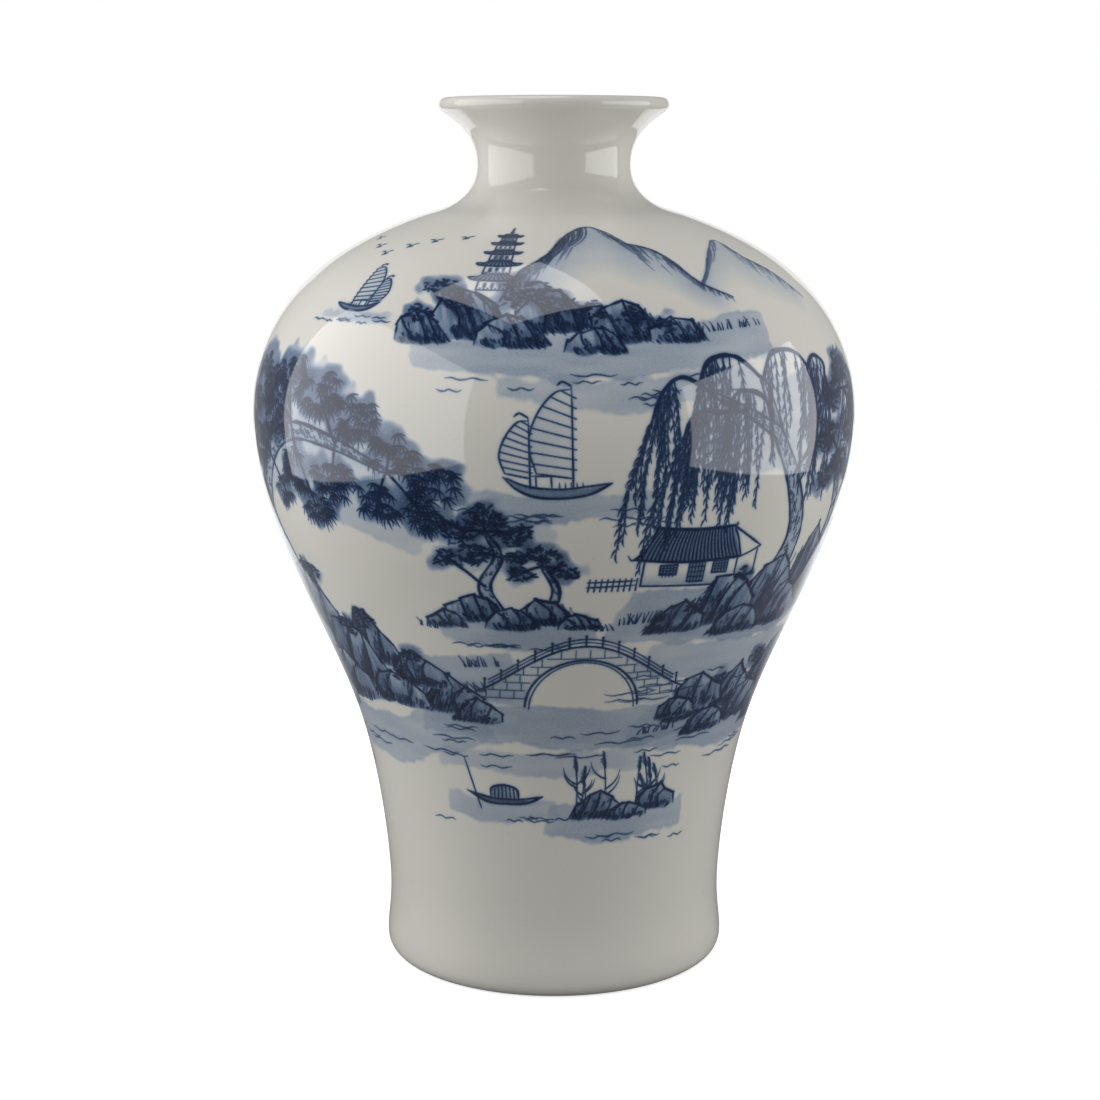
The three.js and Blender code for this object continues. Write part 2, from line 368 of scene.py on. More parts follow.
class Brush:
    """Paints at one place of the sheet. Its own plane is in millimetres, u to the right and v up."""

    def __init__(self, sheet, x, y, size=1.0, flip=False, seed=1):
        self.sheet, self.x, self.y = sheet, x, y
        self.size, self.side = size, -size if flip else size
        self.random = np.random.default_rng(seed)

    def place(self, u, v):
        """Where a point of this plane is on the sheet."""
        y = self.y + v * self.size
        return self.x + u * self.side * stretch_at(y), y

    def at(self, u, v, size=1.0, flip=False):
        """Another brush, whose plane starts at a point of this one's."""
        other = Brush(self.sheet, *self.place(u, v), self.size * size, flip != (self.side < 0))
        other.random = self.random
        return other

    def noise(self, u, v, scale, across=1.0, up=1.0):
        """The sheet's noise on this plane, drawn out by a share across or up."""
        return self.sheet.noise(u * self.size * across, v * self.size * up, scale)

    def touch(self, points, radius, ink=FULL_INK):
        """Round touches at points. The radius and the ink may be one number for all of them."""
        radius, ink = (np.broadcast_to(value, points.shape[:-1]).ravel() for value in (radius, ink))
        self.sheet.touch(*self.place(points[..., 0].ravel(), points[..., 1].ravel()), radius, ink)

    def line(self, points, width=0.72, ink=FULL_INK, taper=(0.6, 0.35), waver=0.12):
        """One brush line. taper gives its width at the start and at the end, as shares of the middle."""
        path = curve(points, LINE_STEP / self.size)
        share = np.linspace(0, 1, len(path))
        swell = np.minimum(1, np.minimum(taper[0] + share * 5, taper[1] + (1 - share) * 3.5))
        roll = self.random.uniform(0, 50)
        wobble = self.sheet.noise(share * len(path) * LINE_STEP, share + roll, 3.0)
        hand = 1 + waver * 2 * (wobble - 0.5)
        self.touch(path, 0.5 * width * swell * hand, ink)

    def lines(self, many, width=0.72, **how):
        for points in many:
            self.line(points, width, **how)

    def ticks(self, start, end, width=0.6, ink=FULL_INK, tip=0.35, bend=0.0, root=1.0):
        """Many short strokes at once, each from its root to its tip, bent to one side by a share."""
        start, end = np.asarray(start, float), np.asarray(end, float)
        way = end - start
        longest = np.hypot(way[:, 0], way[:, 1]).max() * self.size
        share = np.linspace(0, 1, max(3, int(longest / TICK_STEP)))[None, :, None]
        aside = quarter(way) * np.reshape(bend, (-1, 1))
        path = start[:, None] + way[:, None] * share + aside[:, None] * 4 * share * (1 - share)
        thick = root + (1 - root) * np.minimum(1, share[..., 0] * 3)
        thick = thick * (1 - (1 - tip) * share[..., 0] ** 1.5)
        width = np.reshape(width, (-1, 1)) * thick
        self.touch(path, 0.5 * width, np.reshape(ink, (-1, 1)) * np.ones_like(width))

    def uprights(self, across, low, high, width, tip=1.0, **how):
        """Upright ticks at distances across, such as bars, posts or piles."""
        self.ticks(pair(across, low), pair(across, high), width, tip=tip, **how)

    def plane(self, low, high, margin=4.0):
        """The part of the sheet under a box of the brush's plane, with each spot's u and v."""
        sheet, margin = self.sheet, margin / self.size
        rows = np.array([low[1] - margin, high[1] + margin]) * self.size + self.y
        r0, r1 = np.clip(((rows - sheet.low) / TEXEL).astype(int), 0, sheet.rows)
        y = sheet.low + np.arange(r0, r1) * TEXEL
        stretch = stretch_at(y)
        ends = self.side * np.array([low[0] - margin, high[0] + margin])
        reach = np.outer(ends, [stretch.min(), stretch.max()])
        c0, c1 = (int(sheet.column(self.x + end)) for end in (reach.min(), reach.max()))
        columns = np.arange(c0, min(c1 + 1, c0 + sheet.columns))
        x = (columns - sheet.columns / 2) * sheet.pitch
        u = (x[None] - self.x) / stretch[:, None] / self.side
        v = np.broadcast_to(((y - self.y) / self.size)[:, None], u.shape)
        return np.ix_(np.arange(r0, r1), columns % sheet.columns), u, v

    def inside(self, outline):
        """For a closed outline: its part of the sheet, and how far inside each spot lies, in mm."""
        p = np.asarray(outline, float)
        where, u, v = self.plane(p.min(0), p.max(0))
        ring = np.vstack([p, p[:1]])
        odd = np.zeros(u.shape, bool)
        for a, b in zip(ring, ring[1:]):
            if a[1] != b[1]:
                cross = (v < a[1]) != (v < b[1])
                odd ^= cross & (u < a[0] + (v - a[1]) * (b[0] - a[0]) / (b[1] - a[1]))
        return where, u, v, np.where(odd, 1, -1) * far_from(ring, u, v) * self.size

    def reserve(self, outline):
        """Leaves the inside of an outline bare, for what stands in front."""
        where, _, _, depth = self.inside(outline)
        keep = np.clip(0.5 - depth / TEXEL, 0, 1)
        self.sheet.lines[where] *= keep
        self.sheet.washes[where] *= keep

    def tint(self, outline, tone, edge=0.8, fade=None, pool=0.25):
        """A flat wash inside an outline. fade is a function of (u, v) that thins it."""
        where, u, v, depth = self.inside(outline)
        ragged = depth + 2.0 * edge * (self.noise(u, v, 4.5) - 0.5)
        cover = np.clip(0.5 + ragged / edge, 0, 1)
        body = 0.82 + 0.36 * self.noise(u, v, 5.0, across=0.35)
        rim = pool * np.exp(-((np.maximum(ragged, 0) / 1.3) ** 2))
        thin = 1.0 if fade is None else np.clip(fade(u, v), 0, 1)
        self.lay(where, tone * cover * (body + rim) * thin)

    def body(self, outline, tone, **how):
        """A thing that hides what is behind it: its place left bare, then tinted."""
        self.reserve(outline)
        self.tint(outline, tone, **how)

    def wash(self, points, width, tone, edge=1.5, corner=3.0):
        """One stroke of a broad flat brush, round at its corners and dry at its ends."""
        path = curve(points, 1.5 / self.size)
        half = 0.5 * width
        where, u, v = self.plane(path.min(0) - half, path.max(0) + half)
        depth = (half - far_from(path, u, v)) * self.size
        dry = 1.0
        for end, back in ((path[0], path[1]), (path[-1], path[-2])):
            way = (end - back) / np.hypot(*(end - back))
            slant = way + 0.12 * quarter(way)
            inside = -((u - end[0]) * slant[0] + (v - end[1]) * slant[1]) * self.size
            nearest = np.minimum(depth, inside)
            bend = np.hypot(np.maximum(corner - depth, 0), np.maximum(corner - inside, 0))
            depth = np.where(nearest < corner, corner - bend, nearest)
            dry = dry * np.clip(0.72 + inside / 26, 0, 1)
        ragged = depth + 4.8 * (self.noise(u, v, 11.0) - 0.5) + 1.3 * (self.noise(u, v, 2.1) - 0.5)
        cover = np.clip(ragged / edge, 0, 1) ** 1.5
        streak = self.noise(u, v, 2.4, 0.15, 0.8) + 0.9 * self.noise(u, v, 9.0, 0.4, 0.7)
        rim = 0.12 * np.exp(-(((np.maximum(ragged, 0) - 1.1) / 0.8) ** 2))
        self.lay(where, tone * cover * dry * (0.5 + 0.45 * streak + rim))

    def lay(self, where, tone):
        """Adds a wash. Where it overlaps another, the darker one shows, with a part of the other."""
        under = self.sheet.washes[where]
        self.sheet.washes[where] = np.maximum(under, tone) + 0.4 * np.minimum(under, tone)


# Motifs. In each of them, b is the brush.

BLUNT = (1, 1)  # the taper of a line that keeps its width
CREST = ((-0.5, 0.0), (-0.47, 0.42), (-0.28, 0.74), (-0.05, 1.0), (0.2, 0.86), (0.38, 0.5), (0.5, 0.0))


def grass(b, start, end, count, tall=2.2):
    """Short upright blades along a line."""
    share = np.sort(b.random.random(count))
    root = np.asarray(start) + (np.asarray(end) - start) * share[:, None]
    lean = b.random.normal(0, 0.35, count)
    blade = tall * b.random.uniform(0.5, 1.1, count)
    b.ticks(root, root + pair(lean * blade, blade), 0.5, bend=0.1 * lean)


def boulder(b, u, v, wide, tall, strokes=1.0):
    """A rock: an angular crest, facets that fall from it, and close strokes in the shade at its foot."""
    crest = np.array(CREST)
    crest[1:-1] += b.random.uniform(-0.07, 0.07, (5, 2))
    crest = crest * (wide, tall) + (u, v)
    top = curve(np.repeat(crest, 2, axis=0)[1:-1] + b.random.normal(0, 0.012 * wide, (12, 2)))

    def shade(across, up):
        low = 1 - (up - v) / tall
        streak = b.sheet.noise(across * 1.6 + 9, up * 0.35, 1.6) - 0.5
        return 0.22 + 0.5 * (across - u + 0.35 * wide) / wide + 0.45 * low + 0.5 * streak

    foot = [(u + 0.3 * wide, v - 0.1 * tall), (u - 0.25 * wide, v - 0.12 * tall)]
    b.body(np.vstack([top[::5], foot]), 3.0, edge=0.8, fade=shade, pool=0.0)
    for side, start in ((-0.12, 2), (0.12, 3), (0.34, 4)):
        end = np.array([u + side * wide, v - 0.02 * tall])
        knee = 0.5 * (crest[start] + end) + (b.random.uniform(-0.05, 0.12) * wide, 0.05 * tall)
        facet(b, curve([crest[start], knee, end]), (u, v, wide, tall), strokes)
    shaded_foot(b, (u, v, wide, tall), strokes)
    b.line(top, 0.85, taper=(0.4, 0.4), waver=0.5)


def facet(b, edge, rock, strokes):
    """The edge between two faces of a rock, and strokes that fall from it into the darker one."""
    u, v, wide, tall = rock
    b.line(edge, 0.7, taper=(0.9, 0.5), waver=0.4)
    count = int(strokes * b.size * (6 + 0.09 * wide * tall))
    share = b.random.beta(2.0, 1.1, count)
    root, _ = along(edge, share)
    slope = np.array([0.34, -1.0]) + b.random.normal(0, 0.12, (count, 2))
    reach = tall * b.random.uniform(0.1, 0.3, (count, 1)) * (1.15 - 0.6 * share[:, None])
    reach = np.minimum(reach, np.maximum(root[:, 1:] - v + 0.05 * tall, 0.8))
    root = root + pair(b.random.exponential(0.05 * wide, count), 0)
    root[:, 0] = np.minimum(root[:, 0], u + 0.42 * wide)
    tone = FULL_INK * b.random.uniform(0.35, 0.9, count)
    b.ticks(root, root + slope * reach, 0.6, tone, tip=0.2, bend=-0.06)


def shaded_foot(b, rock, strokes):
    """Close strokes along the foot of a rock."""
    u, v, wide, tall = rock
    count = int(strokes * b.size * (6 + 1.3 * wide))
    across = b.random.uniform(-0.42, 0.5, count)
    root = pair(u + across * wide, v + b.random.uniform(0.0, 0.22, count) * tall)
    fall = min(tall, 15) * b.random.uniform(0.08, 0.24, count)
    fall = np.minimum(fall, root[:, 1] - v + 0.12 * min(tall, 15))
    tone = FULL_INK * b.random.uniform(0.5, 1.0, count)
    b.ticks(root, root + pair(0.05 * min(wide, 18), -fall), 0.75, tone, tip=0.2, bend=-0.08)


def crag(b, rocks, strokes=1.0):
    """A heap of rocks, the far ones first. Each is (u, v, width, height)."""
    for rock in rocks:
        boulder(b, *rock, strokes)


def peak(b, ridge, drop, dark, count):
    """A far mountain: a crest, slope lines that fan from it, and a wash that fades into mist."""
    top = curve(ridge)
    base = top[:, 1].min()
    bottom = base - drop

    def mist(u, v):
        crest = np.interp(u, top[:, 0], top[:, 1])
        side = np.minimum(u - top[0, 0], top[-1, 0] - u) / 7
        return (1 - (crest - v) / (0.55 * (crest - bottom))) * np.clip(side, 0, 1)

    shape = np.vstack([top[::6], [[top[-1, 0], bottom], [top[0, 0], bottom]]])
    b.body(shape, 1.5 * WASH * dark, edge=1.0, fade=mist)
    root, way = along(top, np.sort(b.random.random(count)))
    fall = pair(np.sign(way[:, 1] + b.random.normal(0, 0.15, count)) * -0.5, -1)
    reach = (0.12 * drop + 0.4 * (root[:, 1] - base)) * b.random.uniform(0.2, 0.9, count)
    tone = FULL_INK * dark * b.random.uniform(0.5, 1, count)
    b.ticks(root, root + fall * reach[:, None], 0.55, tone, tip=0.15, bend=0.12)
    inner = root + fall * (reach * b.random.uniform(0.4, 1.2, count))[:, None]
    b.ticks(inner, inner + fall * (0.5 * reach)[:, None], 0.5, 0.6 * tone, tip=0.2)
    b.line(top, 0.8, FULL_INK * dark, taper=(0.4, 0.4), waver=0.4)


def trunk(b, middle, widths, bark):
    """A tree's trunk or bough: two edges, a pale body and short bark strokes between them."""
    path = curve(middle)
    share = np.linspace(0, 1, len(path))
    half = 0.5 * np.interp(share, np.linspace(0, 1, len(widths)), widths)
    side = quarter(along(path, share)[1]) * half[:, None]
    left, right = path + side, path - side
    b.body(np.vstack([left[::5], right[::-1][::5]]), 1.3 * WASH, edge=0.6)
    b.line(left, 0.75, taper=(0.8, 0.5), waver=0.5)
    b.line(right, 1.0, taper=(0.8, 0.5), waver=0.5)
    pick = b.random.random(bark)
    spot, way = along(path, pick)
    across = b.random.uniform(-0.9, 0.75, bark) * np.interp(pick, share, half)
    root = spot + quarter(way) * across[:, None]
    reach = b.random.uniform(0.6, 1.8, bark)[:, None]
    b.ticks(root, root + (way + 0.25 * quarter(way)) * reach, 0.45, 0.9 * FULL_INK, tip=0.4, bend=0.2)


def cushion(b, centre, spread, count, flat, rim, lobes=0.0):
    """A soft cloud of wash, and spots scattered in it. rim is how much wider and taller the cloud is."""
    angle = b.random.uniform(0, 2 * np.pi, count)
    out = np.sqrt(b.random.random(count)) * spread
    out = out * (1 - lobes / 2 + lobes * np.sin(3 * angle + centre[0]))
    around = np.linspace(0, 2 * np.pi, 24)
    cloud = centre + pair(np.cos(around) * spread * rim[0], np.sin(around) * spread * rim[1] * flat)
    b.tint(cloud, 1.9, edge=3.4, pool=0.0)
    return centre + pair(np.cos(angle) * out, np.sin(angle) * out * flat)


def leaves(b, centre, spread, count, length=2.1, flat=0.6):
    """A clump of foliage: touches of the side of the brush over a cushion of wash."""
    spot = cushion(b, centre, spread, count, flat, (1.12, 1.15), lobes=0.2)
    way = pair(b.random.normal(0, 1, count), b.random.normal(-0.3, 0.35, count))
    way *= 0.5 * length / np.hypot(way[:, 0], way[:, 1])[:, None]
    b.ticks(spot - way, spot + way, 1.0, FULL_INK * b.random.uniform(0.6, 1, count), tip=0.5, root=0.5)


def fronds(b, centre, spread, count):
    """A clump of drooping leaves, five strokes fanned down from each leaf's stalk."""
    spot = cushion(b, centre, spread, count, 0.7, (1.15, 1.2))
    lean = b.random.normal(0, 0.25, count)
    for spoke, length in ((-1.15, 0.85), (-0.6, 1.0), (0.0, 1.1), (0.6, 1.0), (1.15, 0.85)):
        way = pair(np.sin(spoke + lean), -np.cos(spoke + lean))
        reach = 3.4 * length * b.random.uniform(0.8, 1.15, count)[:, None]
        b.ticks(spot, spot + way * reach, 0.7, tip=0.2, root=0.5, bend=0.06 * np.sign(spoke))


def bushes(b, clumps, length=1.8, flat=0.75):
    """Low clumps of leaves. Each is (u, v, spread)."""
    for u, v, spread in clumps:
        leaves(b, (u, v), spread, int(1.6 * spread**2), length, flat)


def tree(b, stem, widths, clumps, bark=60, drooping=False):
    """A trunk with its boughs and clumps of foliage. Each clump is (u, v, spread)."""
    trunk(b, stem, widths, bark)
    heads = np.asarray(stem[1:], float)
    for u, v, spread in clumps:
        near = heads[np.argmin(np.hypot(*(heads - (u, v)).T))]
        middle = 0.5 * (near + (u, v)) + (0, 0.08 * spread)
        b.line([near, middle, (u, v)], 1.1, taper=(1, 0.4), waver=0.4)
    for u, v, spread in clumps:
        area = spread**2 * b.size**2
        if drooping:
            fronds(b, (u, v), spread, int(0.24 * area))
        else:
            leaves(b, (u, v), spread, int(0.95 * area))


def willow(b, boughs, twigs=104, fall=36, per_twig=24):
    """Hanging willow twigs in curtains from the boughs, with narrow leaves along them."""
    for bough in boughs:
        b.line(bough, 1.5, taper=(1.0, 0.3), waver=0.3)
    paths = [curve(bough) for bough in boughs]
    for k in range(twigs):
        (u, v), _ = along(paths[k % len(paths)], b.random.beta(2.2, 1.0))
        drop = fall * b.random.uniform(0.4, 1.05)
        sway = b.random.uniform(-0.05, 0.22) * drop
        hang = ((0, 0), (0.4, 0.2), (1, 0.6), (0.9, 1))
        twig = curve([(u + across * sway, v - down * drop) for across, down in hang])
        b.line(twig, 0.5, 0.9 * FULL_INK, taper=(1, 0.6))
        count = max(5, int(per_twig * drop / fall))
        root, way = along(twig, np.linspace(0.06, 1, count))
        side = np.where(np.arange(count) % 2, 1, -1)[:, None]
        tip = root + way * b.random.uniform(1.8, 3.2, (count, 1))
        tip = tip + quarter(way) * side * b.random.uniform(0.4, 1.2, (count, 1))
        b.ticks(root, tip, 0.78, tip=0.15, root=0.3, bend=0.08)


def bamboo(b, stems, bunches):
    """Jointed bamboo stems and bunches of pointed leaves."""
    for u, v, lean, length in stems:
        at = np.array([u, v], float)
        for k in range(int(length / 6)):
            turn = np.radians(lean + 1.2 * k)
            step = pair(np.sin(turn), np.cos(turn)) * 5.6
            b.line([at, at + step], 0.95 - 0.03 * k, 0.8 * FULL_INK, taper=(0.9, 0.9))
            b.ticks([at + (-0.7, 0.1)], [at + (0.7, 0.1)])
            at = at + step * 1.05
    for u, v, count, size, lean in bunches:
        for k in range(count):
            fan = (k - (count - 1) / 2) * b.random.uniform(20, 30)
            angle = np.radians(lean + fan + b.random.normal(0, 7))
            length = size * b.random.uniform(0.7, 1.15)
            blade(b, (u, v), (length * np.sin(angle), -length * np.cos(angle)), 0.14 * size)


def blade(b, root, reach, width):
    """One pointed leaf, widest before its middle."""
    tip = np.add(root, reach)
    bend = 0.08 * np.sign(tip[0] - root[0])
    way = tip - root
    share = np.linspace(0, 1, max(6, int(np.hypot(*way) * b.size / TICK_STEP)))
    path = root + way * share[:, None] + quarter(way) * (4 * bend * share * (1 - share))[:, None]
    wide = width * np.sin(np.pi * share**0.75) ** 0.8 + 0.2
    b.touch(path, 0.5 * wide * b.size)


def ripples(b, low, high, count, length=12):
    """Thin level lines of water, each with a slow wave."""
    for _ in range(count):
        u = b.random.uniform(low[0], high[0])
        v = b.random.uniform(low[1], high[1])
        run = length * b.random.uniform(0.5, 1.2)
        wave = 0.35 * np.sin(np.arange(7) * 1.9 + b.random.uniform(0, 6))
        b.line(pair(u + np.linspace(-0.5, 0.5, 7) * run, v + wave), 0.42, 0.8 * FULL_INK, taper=(0.2, 0.2))


def junk(b):
    """A sailing boat: a dark hull, masts and battened sails."""
    hull = [(-13, 1.6), (-9, -0.6), (-2, -1.8), (6, -1.6), (11, 0.4), (14, 3.2), (12.5, 3.4), (8, 1.2),
            (0, 0.4), (-8, 1.2)]
    b.tint(curve(hull)[::5], 1.6, edge=0.7)
    b.line([(-13.5, 2.0), (-8, -0.8), (-1, -1.9), (6, -1.6), (11, 0.4), (14.6, 3.6)], 0.8)
    b.line([(-13.5, 2.0), (-7, 1.2), (0, 0.5), (8, 1.2), (14.6, 3.6)], 0.6)
    b.lines([[(2, 1.0), (2.2, 3.8)], [(6, 1.2), (6.1, 3.8)], [(1.4, 3.9), (7.2, 4.0)]], 0.5)
    rail = pair(np.linspace(-6, 0, 5), 0.9)
    b.ticks(rail, rail + (0.1, 1.4), 0.4)
    for foot, size in ((-3.5, 1.0), (7.5, 0.7)):
        sail(b, foot, size)


def sail(b, foot, size):
    """A mast, and a battened sail that fills towards its back edge."""
    mast = 27 * size
    b.line([(foot, 0.8), (foot + 0.6, mast)], 0.7)
    luff = np.array([(foot + 0.4, 3.4), (foot + 0.6, mast - 0.8)])
    leech = ((9.5, 4.6), (11.5, 10 * size + 2), (9.5, mast * 0.72), (5, mast * 0.93))
    back = curve([*((foot + out * size, v) for out, v in leech), luff[1]])
    outline = np.vstack([luff[:1], back[::5], luff[1:]])
    b.body(outline, 0.55 * WASH, edge=0.6, fade=lambda u, v: 0.35 + 0.08 * (u - foot))
    b.lines([back, [luff[0], back[0]]], 0.55)
    for share in np.linspace(0.1, 0.9, 8):
        start = luff[0] + (luff[1] - luff[0]) * share
        b.line([start - (1.2 * size, 0.1), along(back, share)[0]], 0.38, taper=BLUNT)
    b.line([(foot + 0.6, mast), (foot + 2.8, mast + 1.1), (foot + 4.2, mast + 0.2)], 0.6)


def bridge(b, span, rise):
    """A humped stone bridge: its arch, courses of stone, posts and rails."""
    half, radius, low = span / 2, 0.27 * span, -5
    course = (rise + 3.5) / 7

    def deck(u):
        return rise * np.cos(np.pi * u / span * 0.98) ** 1.3

    u = np.linspace(-half, half, 41)
    top = pair(u, deck(np.clip(u, -half + 0.1, half - 0.1)))
    a = np.linspace(0, np.pi, 25)
    arch = pair(radius * np.cos(a), low + (rise + 0.5) * np.sin(a) * 0.97)
    arch[:, 1] = np.minimum(arch[:, 1], deck(arch[:, 0]) - 2.2)
    b.body(np.vstack([top, [(half, low)], arch, [(-half, low)]]), 0.45 * WASH, edge=0.5)
    opening = np.interp(np.abs(u), arch[:13, 0][::-1], arch[:13, 1][::-1])
    for k in range(1, 7):
        v = low + (rise + 3.5) * k / 7
        run = u[(deck(u) > v + 0.8) & ~((np.abs(u) < radius) & (v < opening))]
        for part in np.split(run, np.where(np.diff(run) > span / 35)[0] + 1):
            if len(part) > 1:
                b.line([(part[0], v), (part[-1], v)], 0.34, 0.75 * FULL_INK, taper=BLUNT)
                joint = np.arange(part[0] + (k % 2) * 2 + 1, part[-1], 4.2)
                if len(joint):
                    b.uprights(joint, v, v + course, 0.32, ink=0.7 * FULL_INK)
    b.line(top, 0.75, taper=(0.8, 0.8))
    b.line(arch, 0.8, taper=(0.8, 0.8))
    b.line(arch * (0.93, 1.0) - (0, 0.8), 0.4, taper=(0.8, 0.8))
    posts = np.linspace(-half + 2, half - 2, 13)
    foot = pair(posts, deck(posts))
    b.ticks(foot, foot + (0, 3.6), tip=0.9)
    b.touch(foot + (0, 3.6), 0.5)
    rail = pair(u[2:-2], deck(u[2:-2]))
    b.line(rail + (0, 2.6), 0.42, taper=BLUNT)
    b.line(rail + (0, 1.4), 0.36, taper=BLUNT)


def eaves(b, v, half, rise, lift, tiles):
    """A tiled roof with upturned corners, seen from the front."""
    ridge = 0.42 * half
    drip = ((-half, lift), (-0.8 * half, 0.2), (0, -0.3), (0.8 * half, 0.2), (half, lift))
    outline = curve([(u, v + up) for u, up in drip])
    right = curve([(half, v + lift), (0.62 * half, v + 0.55 * rise), (ridge, v + rise)])
    left = right * (-1, 1)
    body = np.vstack([outline[::5], right[::5], [(-ridge, v + rise)], left[::-1][::5]])
    b.body(body, 1.7, edge=0.5, pool=0.0)
    b.line(outline, 0.75, taper=(0.5, 0.5))
    b.lines([right, left], 0.6, taper=(0.5, 1))
    b.line([(-ridge, v + rise), (ridge, v + rise)], 0.9, taper=BLUNT)
    share = np.linspace(-0.9, 0.9, tiles)
    bottom = pair(share * half * 0.92, v - 0.2 + 0.35 * lift * share**4)
    b.ticks(bottom, pair(share * ridge, v + rise), 0.5, tip=0.9, bend=0.03 * np.sign(share))


def front(b, half, low, high, width, slope=1.0):
    """The front of a building: its place left bare, its two edges and its sill."""
    left, right = (-half, low), (half, low)
    top_left, top_right = (-half * slope, high), (half * slope, high)
    b.reserve([left, right, top_right, top_left])
    b.lines([[left, top_left], [right, top_right], [left, right]], width, taper=BLUNT)


def pagoda(b, tiers=5, half=8.5, storey=7.4):
    """A tapering pagoda: a roof, a gallery and dark windows to each tier, and a finial."""
    v = 0.0
    for k in range(tiers):
        wide = half * (1 - 0.13 * k)
        wall = 0.58 * wide
        tall = storey * (1 - 0.09 * k)
        front(b, wall, v, v + 0.6 * tall, 0.5, slope=0.95)
        for door in (-0.5, 0, 0.5):
            left, right = door * wall - 0.5, door * wall + 0.5
            low, high = v + 0.12 * tall, v + 0.42 * tall
            b.tint([(left, low), (left, high), (right, high), (right, low)], 2.6, edge=0.4)
        b.uprights(np.linspace(-wall, wall, 9), v, v + 0.1 * tall, 0.32)
        eaves(b, v + 0.58 * tall, wide, 0.42 * tall, lift=1.3, tiles=9)
        v += tall
    b.line([(0, v - 0.2), (0, v + 5)], 0.7, taper=(1, 0.3))
    b.touch(pair(0.0, np.array([v + 1.4, v + 2.8])), (0.75, 0.5))


def hall(b, half=17, wall=7):
    """A low waterside hall with a tiled roof, lattice doors and posts that stand in the water."""
    front(b, half * 0.8, 0, wall, 0.6)
    bays = np.linspace(-0.8, 0.8, 7) * half
    b.uprights(bays[1:-1], 0, wall, 0.5)
    for k in (0, 1, 4, 5):
        left, right = bays[k], bays[k + 1]
        b.uprights(np.linspace(left, right, 5)[1:-1], 0.5, wall - 1.6, 0.34)
        b.lines([[(left, v), (right, v)] for v in (1.8, 3.2, 4.6)], 0.34, taper=BLUNT)
    b.uprights(np.linspace(-0.92, 0.92, 16) * half, -1.6, 0.9, 0.36)
    b.lines([[(-0.92 * half, v), (0.92 * half, v)] for v in (0.9, -1.6)], 0.5, taper=BLUNT)
    b.uprights(np.linspace(-0.8, 0.8, 5) * half, -1.6, -5.5, 0.6)
    eaves(b, wall - 0.6, half, 7.5, lift=2.6, tiles=24)


def lattice(b, u, low, high):
    """A latticed door or window of a cottage."""
    right = u + 4.6
    pane = [(u, low - 0.04 * u), (right, low - 0.3 - 0.04 * u), (right, high), (u, high)]
    b.tint(pane, 1.6, edge=0.4, pool=0.0)
    b.lines([[pane[k], pane[k - 1]] for k in range(4)], 0.5, taper=BLUNT)
    b.uprights(np.linspace(u, right, 6)[1:-1], low - 0.3, high, 0.36)
    b.lines([[(u, v), (right, v - 0.15)] for v in np.linspace(low, high, 5)[1:-1]], 0.34, taper=BLUNT)


def cottage(b):
    """A house seen from one corner: a tiled roof, a plain gable, lattice doors and a fence."""
    left, near, right, top_left, top = (-17, 8), (14, 6.5), (20.5, 8.8), (-12, 16.5), (10, 15.5)
    ground = [(-14, 0.5), (13, -1.2), (19.5, 1.2)]
    base = [*ground, right, near, left, (-14, 8)]
    b.reserve(base)
    b.reserve([near, top, right])
    b.tint(base, 0.9, edge=1.2, fade=lambda u, v: 0.9 - 0.22 * v)
    corners = [(-14, 8), *ground, (19.5, 8)]
    b.lines([*zip(corners, corners[1:]), [(13, -1.2), (13, 7)]], 0.6, taper=(0.9, 0.9))
    for u, low, high in ((-9.5, 3.0, 6.0), (-1.5, 0.8, 6.4), (5.5, 3.0, 6.0)):
        lattice(b, u, low, high)
    b.lines([[near, (12, 12), top], [top, (14.5, 12.6), right]], 0.75)
    low_edge, high_edge = [left, (-2, 6.5), near], [top_left, (-1, 15.4), top]
    sides = (low_edge, [near, (11.4, 11.4), top], high_edge[::-1], [top_left, (-13.6, 11.6), left])
    roof = np.vstack([curve(side)[::6] for side in sides])
    b.body(roof, 2.0, edge=0.4, pool=0.0, fade=lambda u, v: 1.15 - 0.07 * (v - 8))
    b.line(low_edge, 0.95, taper=(0.5, 0.9))
    b.line([near, (17, 7.4), right], 0.6, taper=(0.9, 0.9))
    b.line([(-13.4, 17.2), *high_edge, (11, 16.2)], 1.1, taper=(0.5, 0.5))
    b.line([top_left, (-13.6, 11.6), left, (-18.6, 9.2)], 0.75, taper=(0.9, 0.3))
    low, high = (along(curve(side), np.linspace(0.03, 0.97, 26))[0] for side in (low_edge, high_edge))
    b.ticks(low, high, 0.55, tip=1, bend=0.05)
    b.uprights(np.linspace(-27, -15, 9), -0.6, 2.8, 0.5, tip=0.8)
    b.lines([[(-27.5, 0.6), (-15, 0.9)], [(-27.5, 2.0), (-15, 2.2)]], 0.5)


def punt(b):
    """A low boat with an awning, and a long pole."""
    b.tint([(-11, 1.2), (-6, -0.8), (5, -0.9), (11, 1.8), (4, 0.8), (-5, 0.7)], 2.6, edge=0.5)
    b.line([(-12, 1.8), (-7, -0.6), (0, -1.2), (6, -0.8), (12.5, 2.4)], 0.9)
    b.line([(-12, 1.8), (-4, 0.6), (5, 0.8), (12.5, 2.4)], 0.6)
    awning = curve([(-4.5, 0.8), (-4, 4.2), (0, 5.4), (4, 4.2), (4.5, 0.9)])
    b.body(awning[::4], 1.5, edge=0.4, fade=lambda u, v: 0.5 + 0.1 * (u + 4))
    b.line(awning, 0.8)
    for u in np.linspace(-4.5, 4.5, 8)[1:-1]:
        b.line([(u, 0.9), (u * 0.93, 1 + 4.1 * np.sqrt(1 - (u / 5) ** 2))], 0.4, taper=BLUNT)
    b.line([(8, -3.4), (10, 4), (12.5, 14)], 0.5)


